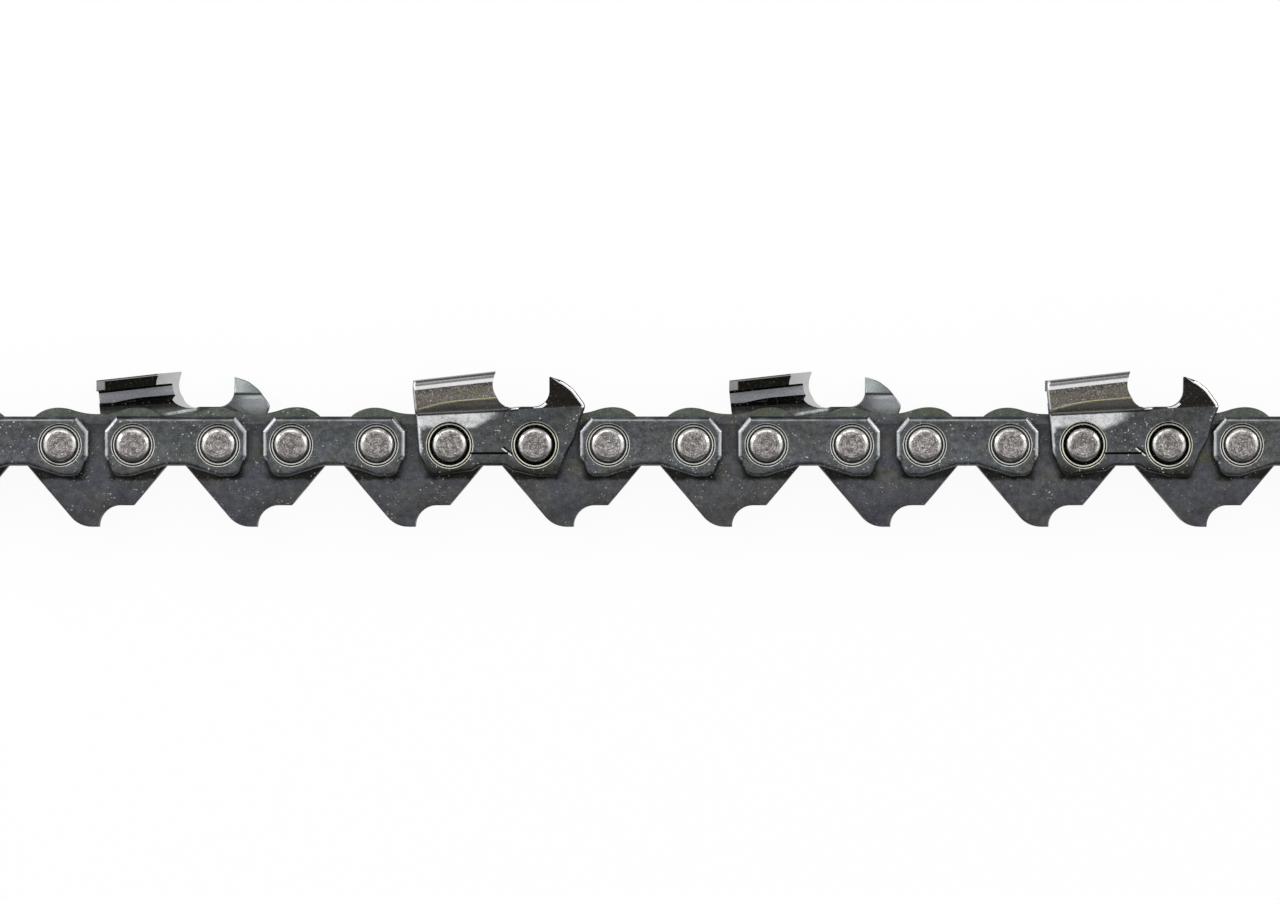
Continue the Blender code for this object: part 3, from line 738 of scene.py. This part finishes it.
def cutter_materials(colours):
    """The plate's finishes, then those of the tooth and the depth gauge, in slot order."""
    chrome = tuple(colours.chrome)
    brown = ((0.130, 0.112, 0.100), (0.215, 0.205, 0.188))
    swelling = ((0.10, 0.105, 0.11), (0.15, 0.155, 0.16))
    table = (
        ("flare", (0.20, 0.19, 0.175), ((0.11, 0.10, 0.09), (0.30, 0.285, 0.26)), 0.5, 0.42, (flare_lines,)),
        # the corner's near-white colour is a painted highlight, under the painted reflection bands
        ("corner", (0.9, 0.9, 0.9), ((0.85, 0.85, 0.85), (0.95, 0.95, 0.95)), 0.10, 0.24, (painted_reflection_bands,)),
        ("top", times(chrome, 2.4), ((0.36, 0.36, 0.36), (0.44, 0.44, 0.43)), 0.25, 0.30),
        ("gauge", (0.048, 0.043, 0.038), ((0.036, 0.030, 0.022), (0.070, 0.064, 0.060)), 0.35, 0.40),
        ("inside", (0.36, 0.37, 0.40), ((0.26, 0.27, 0.30), (0.44, 0.45, 0.48)), 0.4, 0.42),
        ("filed", (0.50, 0.50, 0.505), ((0.46, 0.46, 0.465), (0.54, 0.54, 0.54)), 0.10, 0.36),
        ("side", chrome, brown, 0.9, 0.38, (sooty_top,)),
        ("bend", (0.62, 0.59, 0.36), ((0.50, 0.48, 0.28), (0.75, 0.72, 0.48)), 0.35, 0.32),
        ("gauge_inside", (0.13, 0.135, 0.145), swelling, 0.25, 0.36, (gauge_swell,)),
        ("shadow", (0.006, 0.006, 0.006), ((0.004, 0.004, 0.004), (0.010, 0.010, 0.008)), 0.4, 0.6),
        ("edge", (0.30, 0.30, 0.30), ((0.26, 0.26, 0.26), (0.36, 0.36, 0.36)), 0.15, 0.34, (pocket_soot,)),
    )
    plate = plate_materials("cutter", colours, (0.86, 0.86, 0.74), (painted_highlight_patch, painted_crease_and_foot_shade), 0.86)
    tooth = [grainy_chrome("cutter_" + name, *values) for name, *values in table]
    # the body's inner face is the plate steel darkened as painted shade
    steel, stain = times(colours.strap_steel, 0.55), times(colours.strap_stain, 0.55)
    sheen = (0.06, 0.06, 0.07)
    body = steel_face("cutter_body_inside", steel, stain, sheen, 0.3, 0.42, 0.8, (inner_shade,))
    # painted highlight for the depth gauge's rim and the shallow stroke beside the pressed tick
    bright = rubbed_rim("cutter_bright", (0.70, 0.70, 0.71), (0.95, 0.95, 0.95), 0.30, 0.26)
    return (*plate, *tooth, body, bright)


def dress(mesh, materials, node, x, turn=0.0):
    """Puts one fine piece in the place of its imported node, on the same body."""
    piece = temporary("fine_" + node, mesh)
    if not mesh.materials:
        for material in materials:
            mesh.materials.append(material)
    piece.location.x = x
    piece.rotation_euler.y = turn
    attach(piece, body_of(node))
    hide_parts(node)


def sort_faces(mesh, choose):
    """Gives each face the material index that choose(centre, normal) returns."""
    for face in mesh.polygons:
        face.material_index = choose(face.center, face.normal)


def is_upright(normal):
    """Whether a rim faces the end of its plate rather than its long side."""
    return abs(normal.x) > 0.5 * math.hypot(normal.x, normal.y)


class SAWCHAIN_OT_drive_links(bpy.types.Operator):
    """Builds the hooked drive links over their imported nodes"""

    bl_idname = "sawchain.drive_links"
    bl_label = "Drive Links"

    def execute(self, context):
        sizes = context.scene.saw_chain_sizes
        colours = context.scene.saw_chain_colours
        sides = sizes.round_sides
        outlines = [link_outline()]
        for x in (-LINK_SPAN / 2, LINK_SPAN / 2):
            outlines.append([polar((x, 0), LINK_HOLE, 2 * math.pi * i / sides) for i in range(sides)])
        mesh = flat_mesh("drive_link_fine", outlines, LINK_BOX[0][2], LINK_BOX[1][2], sizes.link_edge, 1)
        smooth(mesh, 35)
        steel, stain = tuple(colours.link_steel), tuple(colours.link_stain)
        sheen = (0.086, 0.088, 0.118)
        materials = (
            steel_face("drive_link_face", steel, stain, sheen, 0.45, 0.40, 0.62, (link_oil_and_painted_light,)),
            rubbed_rim("drive_link_bright_rim", (0.06, 0.06, 0.055), (0.28, 0.29, 0.27), 0.52),
            rubbed_rim("drive_link_dark_rim", (0.05, 0.055, 0.045), (0.14, 0.15, 0.13), 0.5, 0.4),
            steel_face("drive_link_wall", times(steel, 0.5), times(stain, 0.5), (0.05, 0.05, 0.06), 0.2, 0.5),
        )
        face, bright, dark, wall = range(4)

        def zone(center, normal):
            if abs(normal.z) > FLAT:
                return face
            if abs(normal.z) < STANDING:
                return wall
            return bright if center.y < -3 * MM else dark

        sort_faces(mesh, zone)
        for node in nodes_named("drive_link"):
            dress(mesh, materials, node, box_center_x(node))
        return {"FINISHED"}


class SAWCHAIN_OT_tie_straps(bpy.types.Operator):
    """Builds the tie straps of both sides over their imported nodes"""

    bl_idname = "sawchain.tie_straps"
    bl_label = "Tie Straps"

    def execute(self, context):
        sizes = context.scene.saw_chain_sizes
        colours = context.scene.saw_chain_colours
        blank = flat_mesh("tie_strap_fine", [strap_outline()], PLATE_IN, PLATE_OUT, sizes.edge_roll, 4)
        strap = temporary("tie_strap_fine", blank)
        drills = rivet_drills(sizes, sizes.strap_ring)
        cut(strap, drills)
        mesh = applied(strap)
        for drill in drills:
            bpy.data.objects.remove(drill)
        smooth(mesh, 28)
        materials = plate_materials("tie_strap", colours, (0.88, 0.88, 0.82))
        sort_faces(mesh, lambda center, normal: plate_zone(center, normal, sizes.strap_ring))
        for node in nodes_named("right_tie_strap") + nodes_named("left_tie_strap"):
            turn = math.pi if node.startswith("left") else 0.0
            dress(mesh, materials, node, box_center_x(node), turn)
        return {"FINISHED"}


def ring_distance(point):
    """Distance of a point from the axis of the nearer rivet."""
    return math.hypot(abs(point.x) - PIN, point.y)


def ring_zone(center, normal, ring):
    """Finish of a face in or on the coined ring, or None where the face lies outside it."""
    height = center.z - PLATE_OUT
    on_face = normal.z > FLAT and height > -0.01 * MM
    if ring_distance(center) > ring + 0.14 * MM or on_face or height > 0.01 * MM:
        return None
    if height < 0.005 * MM - RING_DEPTH or (normal.z < 0.3 and height < -0.05 * MM):
        return SHADOW if ring > STRAP_RING_LIMIT else WALL
    return RING


def plate_zone(center, normal, ring):
    """Which finish a tie strap's face has, from where it lies and where it faces."""
    found = ring_zone(center, normal, ring)
    if found is not None:
        return found
    if abs(normal.z) > 0.995 or (center.y < LOW_RIM and normal.z > 0.6):
        return FACE
    if normal.z > 0.955:
        return LINE if center.y > -1 * MM else LONG_RIM
    if abs(normal.z) < STANDING:
        return WALL
    # rims facing the plate's ends carry the painted highlight, the long rims the painted shade
    return END_RIM if is_upright(normal) and center.y > LOW_RIM else LONG_RIM


class SAWCHAIN_OT_rivets(bpy.types.Operator):
    """Builds the stepped rivets with their peened heads"""

    bl_idname = "sawchain.rivets"
    bl_label = "Rivets"

    def execute(self, context):
        sizes = context.scene.saw_chain_sizes
        colours = context.scene.saw_chain_colours
        base = PLATE_OUT - HEAD_SEAT
        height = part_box("rivet_09")[1][2] - base
        head = sizes.head_radius
        dome = (  # shares of the head's radius and height
            (0, 0.94), (0.5, 0.97), (0.62, 1), (0.72, 0.97), (0.82, 0.86),
            (0.90, 0.70), (0.96, 0.50), (0.99, 0.28), (1, 0.1),
        )
        upper = [(across * head, base + up * height) for across, up in dome]
        upper += [
            (head - 0.02 * MM, base - 0.05 * MM),
            (HUB_RADIUS, base - 0.05 * MM),
            (HUB_RADIUS, FLANGE_HALF),
            (FLANGE_RADIUS, FLANGE_HALF),
        ]
        profile = upper + [(radius, -z) for radius, z in reversed(upper)]
        mesh = applied(turned_object("rivet_fine", profile, sizes.round_sides))
        smooth(mesh, 40)
        steel = rivet_steel("rivet_head", tuple(colours.rivet))
        for node in nodes_named("rivet"):
            dress(mesh, (steel,), node, box_center_x(node))
        return {"FINISHED"}


def height_at(x, line):
    start, rise = line
    return (start + rise * x / MM) * MM


def bend_height(x):
    """Where the flare turns into the side plate: it rises fast at the rear, then slowly."""
    rear = max(0.0, -3.8 - x / MM)
    curve = (5.6 + 0.087 * x / MM - 0.0242 * rear * rear) * MM
    return max(curve, height_at(x, STEP_LINE) + 0.35 * MM)


def tooth_section(x, offset):
    """Cross-section (z, y) through body, flare, side plate, rounded corner and top plate."""
    step, bend = height_at(x, STEP_LINE), bend_height(x)
    corner, top = height_at(x, CORNER_LINE), height_at(x, TOP_LINE)
    side = PLATE_OUT + offset
    inside = side - TOOTH_GAUGE
    under = top - TOOTH_GAUGE
    roll = top - corner
    drop = CORNER_DROP * roll
    over = side - TOP_WIDTH
    points = [
        (PLATE_IN, BODY_BOTTOM),
        (PLATE_OUT, BODY_BOTTOM),
        (PLATE_OUT, step - 0.25 * MM),
        (PLATE_OUT + 0.04 * MM, step - 0.05 * MM),
        (PLATE_OUT + 0.2 * MM, step + 0.1 * MM),
        (side - 0.16 * MM, bend - 0.12 * MM),
        (side - 0.03 * MM, bend + 0.02 * MM),
        (side - 0.01 * MM, bend + 0.15 * MM),
        (side, bend + 0.3 * MM),
        (side, corner),
    ]
    for index in range(1, CORNER_STEPS):
        angle = math.radians(90 * index / CORNER_STEPS)
        points.append((side - drop * (1 - math.cos(angle)), corner + roll * math.sin(angle)))
    points += [
        (side - drop, top),
        (over + 0.1 * MM, top),
        (over, top - 0.1 * MM),
        (over, under + 0.08 * MM),
        (over + 0.08 * MM, under),
        (inside - 0.25 * MM, under),
        (inside - 0.07 * MM, under - 0.07 * MM),
        (inside, under - 0.25 * MM),
        (inside, bend + 0.55 * MM),
        (inside - 0.12 * MM, bend + 0.35 * MM),
        (PLATE_IN + 0.2 * MM, step + 1.35 * MM),
        (PLATE_IN, step + 0.9 * MM),
    ]
    return points


def gauge_section(x, count):
    """Cross-section (z, y) through the body and the depth gauge, with the given point count."""
    step = height_at(x, STEP_LINE)
    slope = math.tan(GAUGE_LEAN)
    points = [(PLATE_IN, BODY_BOTTOM), (PLATE_OUT, BODY_BOTTOM), (PLATE_OUT, step)]
    for index in range(1, GAUGE_OUTER_POINTS):
        y = step + (GAUGE_TOP - step) * index / (GAUGE_OUTER_POINTS - 1)
        points.append((PLATE_OUT + slope * (y - step), y))
    inner_count = count - len(points) - 1
    for index in range(inner_count):
        y = GAUGE_TOP - (GAUGE_TOP - GAUGE_CREASE) * index / (inner_count - 1)
        points.append((PLATE_IN + 0.4 * MM + slope * (y - GAUGE_CREASE), y))
    points.append((PLATE_IN, GAUGE_CREASE - 0.6 * MM))
    return points


def skin(shape, rings):
    """Faces between rings of bmesh vertices, and a cap on each end."""
    count = len(rings[0])
    for first, second in zip(rings, rings[1:]):
        for i in range(count):
            j = (i + 1) % count
            shape.faces.new((first[i], first[j], second[j], second[i]))
    shape.faces.new(reversed(rings[0]))
    shape.faces.new(rings[-1])
    bmesh.ops.recalc_face_normals(shape, faces=shape.faces)


def loft(name, stations):
    """Closed solid through cross-sections (z, y) with equal numbers of points, at given X."""
    shape = bmesh.new()
    skin(shape, [[shape.verts.new((x, y, z)) for z, y in section] for x, section in stations])
    return temporary(name, mesh_from(shape, name))


def round_file():
    """The round file whose cylinder shapes the gullet and the slanted front of the tooth."""
    shape = bmesh.new()
    bmesh.ops.create_cone(
        shape, cap_ends=True, segments=96, radius1=FILE_RADIUS, radius2=FILE_RADIUS, depth=24 * MM
    )
    tool = temporary("round_file", mesh_from(shape, "round_file"))
    tool.location = FILE_PLACE
    tool.rotation_euler = (0, FILE_ANGLE, 0)
    return tool


def pressed_line():
    """Blades for the thin line and the slanted tick pressed between a cutter's rivets."""
    strokes = (  # ends, half width and depth, in mm
        ((-2.6, -1.0), (1.9, -0.97), 0.14, 0.3),
        ((1.30, -0.22), (2.45, -1.10), 0.10, 0.3),
        ((1.15, -0.38), (2.32, -1.30), 0.08, 0.06),
    )
    tools = []
    for index, (start, end, half, depth) in enumerate(strokes):
        start, end = Vector(start) * MM, Vector(end) * MM
        along = end - start
        shape = bmesh.new()
        bmesh.ops.create_cube(shape, size=1)
        shape.transform(Matrix.Diagonal((along.length, 2 * half * MM, depth * MM, 1)))
        tool = temporary(f"press_{index}", mesh_from(shape, "press"))
        tool.location = (*((start + end) / 2), PLATE_OUT)
        tool.rotation_euler.z = math.atan2(along.y, along.x)
        tools.append(tool)
    return tools


def edge_pocket():
    """Cutter for the shallow pocket in the inner edge of the top plate."""
    over = PLATE_OUT + SIDE_FRONT - TOP_WIDTH
    rear, front = TOOTH_REAR + 1.0 * MM, 4 * MM
    low, high = height_at(rear, TOP_LINE), height_at(front, TOP_LINE)
    floor, rim = 1.6 * MM, 0.24 * MM
    outline = ((rear, low - floor), (front, high - floor), (front, high - rim), (rear, low - rim))
    shape = bmesh.new()
    levels = (over - 1 * MM, over + POCKET_DEPTH)
    skin(shape, [[shape.verts.new((x, y, z)) for x, y in outline] for z in levels])
    return temporary("edge_pocket", mesh_from(shape, "edge_pocket"))


def off_file(point):
    """Vector from the file's axis to a point, square to the axis."""
    away = point - FILE_PLACE
    return away - FILE_AXIS * away.dot(FILE_AXIS)


def near_file(point, reach):
    """Whether a point lies on the round file's cylinder."""
    return abs(off_file(point).length - FILE_RADIUS) < reach


def on_file(face):
    return all(near_file(vert.co, 0.02 * MM) for vert in face.verts)


def is_filed(center, normal):
    """Whether a face is part of the file's cylinder: near it and square to its radius."""
    return near_file(center, 0.06 * MM) and abs(off_file(center).normalized().dot(normal)) > 0.97


def keeps_sharp(middle):
    """Whether an edge is at the gullet, a ring, the pressed marks or the gauge's rear."""
    marks = abs(middle.x) < 2.9 * MM and -1.6 * MM < middle.y < 0.2 * MM
    gauge_rear = 5.8 * MM < middle.x < 7.0 * MM and middle.y > 5.4 * MM and middle.z > PLATE_OUT
    near_ring = abs(ring_distance(middle) - 2.75 * MM) < 0.2 * MM
    return near_file(middle, 0.05 * MM) or near_ring or marks or gauge_rear


def roll_rims(mesh, width):
    """Rounds the stamped rims of a cutter, and leaves the filed cutting edges sharp."""
    shape = bmesh.new()
    shape.from_mesh(mesh)
    bmesh.ops.remove_doubles(shape, verts=shape.verts, dist=0.012 * MM)
    bmesh.ops.dissolve_limit(
        shape,
        angle_limit=math.radians(0.4),
        verts=shape.verts,
        edges=shape.edges,
        use_dissolve_boundaries=False,
    )
    outer, inner, floor = [], [], []
    for edge in shape.edges:
        if len(edge.link_faces) != 2 or edge.calc_length() < 0.02 * MM:
            continue
        first, second = edge.link_faces
        middle = (edge.verts[0].co + edge.verts[1].co) / 2
        outside = middle.z > PLATE_OUT - 0.05 * MM
        on_top = max(first.normal.z, second.normal.z) > 0.9 and outside
        if on_top and middle.x > 1.7 * MM and middle.y < 5.7 * MM and (on_file(first) or on_file(second)):
            floor.append(edge)
            continue
        if keeps_sharp(middle):
            continue
        for face, wall in ((first, second), (second, first)):
            if abs(wall.normal.z) > STANDING or on_file(wall):
                continue
            faces_out = face.normal.z > 0.5 or (face.normal.y > 0.2 and wall.normal.x < -0.8)
            if faces_out and outside:
                outer.append(edge)
            elif face.normal.z < -0.8 and middle.x > 4 * MM and middle.y > 4.2 * MM:
                inner.append(edge)
    for rims, size in ((outer, width), (inner, width * 0.45), (floor, width * 0.7)):
        bmesh.ops.bevel(
            shape,
            geom=[edge for edge in set(rims) if edge.is_valid],
            offset=size,
            offset_type="OFFSET",
            segments=4,
            profile=0.5,
            affect="EDGES",
            clamp_overlap=False,
        )
    bmesh.ops.triangulate(shape, faces=[face for face in shape.faces if len(face.verts) > 4])
    shape.to_mesh(mesh)
    shape.free()


def fine_cutter(sizes):
    """Right-hand cutter: lofted blank, cut to its outline, filed at the gullet and drilled."""
    stations = [(BLANK_REAR, tooth_section(BLANK_REAR, SIDE_REAR))]
    for step in range(STATION_COUNT):
        x = (STATION_START + STATION_STEP * step) * MM
        share = (x - BLANK_REAR) / (TOOTH_END - BLANK_REAR)
        stations.append((x, tooth_section(x, SIDE_REAR + (SIDE_FRONT - SIDE_REAR) * share)))
    stations.append((TOOTH_END, tooth_section(TOOTH_END, SIDE_FRONT)))
    count = len(stations[0][1])
    for x in (TOOTH_END + GAUGE_BLEND, BLANK_FRONT):
        stations.append((x, gauge_section(x, count)))
    blank = loft("cutter_fine", stations)
    outline = temporary("cutter_fine_outline", flat_mesh("outline", [cutter_outline()], -12 * MM, 12 * MM))
    tools = [round_file(), edge_pocket(), *rivet_drills(sizes, sizes.cutter_ring), *pressed_line()]
    cut(blank, [outline], "INTERSECT")
    cut(blank, tools)
    mesh = applied(blank)
    for tool in tools + [outline]:
        bpy.data.objects.remove(tool)
    roll_rims(mesh, sizes.cutter_roll)
    return mesh


def body_zone(center, normal):
    """Finish of a face on a cutter's flat body, its rims and the pressed marks."""
    x, y, z = center
    # pressed marks: the deep grooves are painted shadow, the shallow stroke a painted highlight
    if abs(y) < 2 * MM and abs(x) < 2.7 * MM and z < PLATE_OUT - 0.005 * MM and z > 1.5 * MM:
        return BRIGHT if z > PLATE_OUT - 0.04 * MM else SHADOW
    if abs(normal.z) > FLAT:
        return FACE if normal.z > 0 else BODY_IN
    if abs(normal.z) < STANDING:
        return WALL
    if y < LOW_RIM and normal.z > 0.6:
        return FACE
    # rims at the cutter's rear carry the painted highlight, the others the painted shade
    pale_end = is_upright(normal) and x < 0 and y > -1.5 * MM and normal.z < 0.9
    return END_RIM if pale_end else LONG_RIM


def gauge_zone(x, normal):
    """Finish of a face on the depth gauge and its rounded rim."""
    if normal.z < -0.9:
        return GAUGE_IN
    if normal.z < 0.35:
        return WALL
    if normal.z < 0.72:
        return LONG_RIM
    if normal.dot(GAUGE_NORMAL) > 0.992 or (normal.z > 0.985 and x < 3.4 * MM):
        return GAUGE
    # the gauge's rounded rim is a painted highlight, except over the gullet where it is painted shade
    return LONG_RIM if 3.1 * MM < x < 4.3 * MM else BRIGHT


def tooth_zone(center, normal):
    """Finish of a face on the flare, the side plate and the top plate."""
    x, y, z = center
    bend = bend_height(x)
    if normal.x < -0.85:
        return WALL
    if normal.x < -0.25 and normal.z > -0.2:
        return END_RIM
    if normal.z < -0.9 and z < 0:
        return EDGE
    if normal.y < -0.3 and z < PLATE_OUT + 0.6 * MM and normal.z < 0.3:
        return SHADOW
    if normal.z < -0.95:
        return INSIDE
    if normal.z < -0.2:
        return SHADOW
    if y > height_at(x, TOP_LINE) - CORNER_BAND:
        return TOP if normal.y > 0.97 else CORNER
    if y < bend - 0.06 * MM:
        return FLARE
    return BEND if y < bend + 0.12 * MM else SIDE


def cutter_zone(center, normal, ring):
    """Which finish a cutter face has, from where it lies and where it faces."""
    x, y, z = center
    step = height_at(x, STEP_LINE)
    found = ring_zone(center, normal, ring)
    if found is not None:
        return found
    if is_filed(center, normal):
        return FILED
    if x > 4.4 * MM and y > 3.9 * MM and normal.z < -0.4:
        return GAUGE_IN
    if y < step - 0.1 * MM or (y < step + 0.8 * MM and normal.z < -0.95):
        return body_zone(center, normal)
    return gauge_zone(x, normal) if x > 1.9 * MM else tooth_zone(center, normal)


class SAWCHAIN_OT_cutters(bpy.types.Operator):
    """Builds the right-hand and left-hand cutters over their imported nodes"""

    bl_idname = "sawchain.cutters"
    bl_label = "Cutters"

    def execute(self, context):
        sizes = context.scene.saw_chain_sizes
        right = fine_cutter(sizes)
        sort_faces(right, lambda center, normal: cutter_zone(center, normal, sizes.cutter_ring))
        smooth(right, 32, (FILED, EDGE, SHADOW, BRIGHT))
        left = right.copy()
        left.name = "cutter_fine_left"
        left.transform(Matrix.Scale(-1, 4, (0, 0, 1)))
        left.flip_normals()
        materials = cutter_materials(context.scene.saw_chain_colours)
        for node in nodes_named("right_cutter") + nodes_named("left_cutter"):
            mesh = right if node.startswith("right") else left
            dress(mesh, materials, node, pair_center_x(node))
        return {"FINISHED"}


def white_to_camera(nodes, surface, white, cover):
    """Shows white to the camera and in reflections, mixed over the lit surface by cover."""
    path = nodes.node("ShaderNodeLightPath").outputs
    seen = nodes.math("MAXIMUM", path["Is Camera Ray"], path["Is Glossy Ray"])
    seen = nodes.math("MAXIMUM", seen, path["Is Transmission Ray"])
    inputs = {0: nodes.product(seen, cover), 1: surface.outputs[0], 2: white.outputs[0]}
    return nodes.node("ShaderNodeMixShader", inputs).outputs[0]


class SAWCHAIN_OT_stage(bpy.types.Operator):
    """Lays the white floor, the soft lamps and the camera above the chain"""

    bl_idname = "sawchain.stage"
    bl_label = "Stage"

    def execute(self, context):
        level = context.scene.saw_chain_sizes.lamp_level
        self.floor()
        self.world()
        lamps = (  # place and size in metres, power in watts
            ("left_strip", (-0.40, 0.20, 0.12), (0.10, 0.42), 0.7),
            ("right_strip", (0.40, 0.20, 0.12), (0.10, 0.42), 0.6),
            ("upper_soft", (-0.06, 0.40, 0.30), (0.5, 0.22), 0.6),
        )
        for name, place, size, power in lamps:
            self.lamp(name, Vector(place), size, power * level)
        self.camera()
        context.scene.view_settings.view_transform = "Standard"
        return {"FINISHED"}

    def floor(self):
        shape = bmesh.new()
        bmesh.ops.create_grid(shape, x_segments=1, y_segments=1, size=2.0)
        mesh = mesh_from(shape, "floor")
        floor = temporary("floor", mesh)
        floor.location.z = CAD_BOX[0][2] - 0.02 * MM
        material = bpy.data.materials.new("floor_paper")
        material.use_nodes = True
        nodes = Nodes(material.node_tree)
        nodes.tree.nodes.clear()
        paper = nodes.node("ShaderNodeBsdfDiffuse", {"Color": (0.86, 0.86, 0.86)})
        white = nodes.node("ShaderNodeEmission", {"Strength": 1.0})
        nodes.node("ShaderNodeOutputMaterial", {0: white_to_camera(nodes, paper, white, 0.93)})
        mesh.materials.append(material)

    def world(self):
        """White sky that is dimmer below, above and at the ends, for contrast on the steel."""
        world = bpy.data.worlds.new("studio")
        bpy.context.scene.world = world
        world.use_nodes = True
        nodes = Nodes(world.node_tree)
        nodes.tree.nodes.clear()
        soft = nodes.node("ShaderNodeBackground", {"Color": (1, 1, 1), "Strength": 0.85})
        sky = nodes.node("ShaderNodeTexCoord").outputs["Generated"]
        axes = nodes.node("ShaderNodeSeparateXYZ", {0: sky}).outputs
        ends = nodes.band(nodes.math("ABSOLUTE", axes[0]), 0.35, 0.85, 0.0, 0.5)
        below = nodes.band(axes[1], -0.60, -0.12, 0.12, 0.8)
        above = nodes.band(axes[1], 0.30, 0.85, 1.0, 0.4)
        lit = nodes.band(axes[1], -0.50, -0.10, 0.1, 1.0)
        strength = nodes.total(nodes.product(below, above), nodes.product(ends, lit))
        seen = nodes.node("ShaderNodeLightPath").outputs["Is Camera Ray"]
        strength = nodes.math("MAXIMUM", strength, seen)
        white = nodes.node("ShaderNodeBackground", {"Color": (1, 1, 1), "Strength": strength})
        nodes.node("ShaderNodeOutputWorld", {0: white_to_camera(nodes, soft, white, 1.0)})

    def lamp(self, name, place, size, power):
        data = bpy.data.lights.new(name, "AREA")
        data.shape = "RECTANGLE"
        data.size, data.size_y = size
        data.energy = power
        lamp = temporary(name, data)
        lamp.location = place
        lamp.rotation_euler = (-place).to_track_quat("-Z", "Y").to_euler()

    def camera(self):
        data = bpy.data.cameras.new("camera")
        data.sensor_width = 36
        data.lens = 210
        data.clip_start = 0.01
        camera = temporary("camera", data)
        camera.location = (-1.3 * MM, -0.6 * MM, 900 * MM)
        bpy.context.scene.camera = camera


class SAWCHAIN_PT_panel(bpy.types.Panel):
    """Lists the chain's operators, sizes and colours"""

    bl_idname = "SAWCHAIN_PT_panel"
    bl_label = "Saw Chain"
    bl_space_type = "VIEW_3D"
    bl_region_type = "UI"
    bl_category = "Saw Chain"

    def draw(self, context):
        for group in (context.scene.saw_chain_sizes, context.scene.saw_chain_colours):
            box = self.layout.box()
            for name in group.__annotations__:
                box.prop(group, name)
        for operator in OPERATORS:
            self.layout.operator(operator.bl_idname)


OPERATORS = (
    SAWCHAIN_OT_drive_links,
    SAWCHAIN_OT_tie_straps,
    SAWCHAIN_OT_rivets,
    SAWCHAIN_OT_cutters,
    SAWCHAIN_OT_stage,
)
CLASSES = (SawChainSizes, SawChainColours, *OPERATORS, SAWCHAIN_PT_panel)


def register():
    for cls in CLASSES:
        bpy.utils.register_class(cls)
    bpy.types.Scene.saw_chain_sizes = PointerProperty(type=SawChainSizes)
    bpy.types.Scene.saw_chain_colours = PointerProperty(type=SawChainColours)


def unregister():
    del bpy.types.Scene.saw_chain_colours
    del bpy.types.Scene.saw_chain_sizes
    for cls in reversed(CLASSES):
        bpy.utils.unregister_class(cls)


def main():
    register()
    bpy.ops.sawchain.drive_links()
    bpy.ops.sawchain.tie_straps()
    bpy.ops.sawchain.rivets()
    bpy.ops.sawchain.cutters()
    bpy.ops.sawchain.stage()


if __name__ == "__main__":
    main()
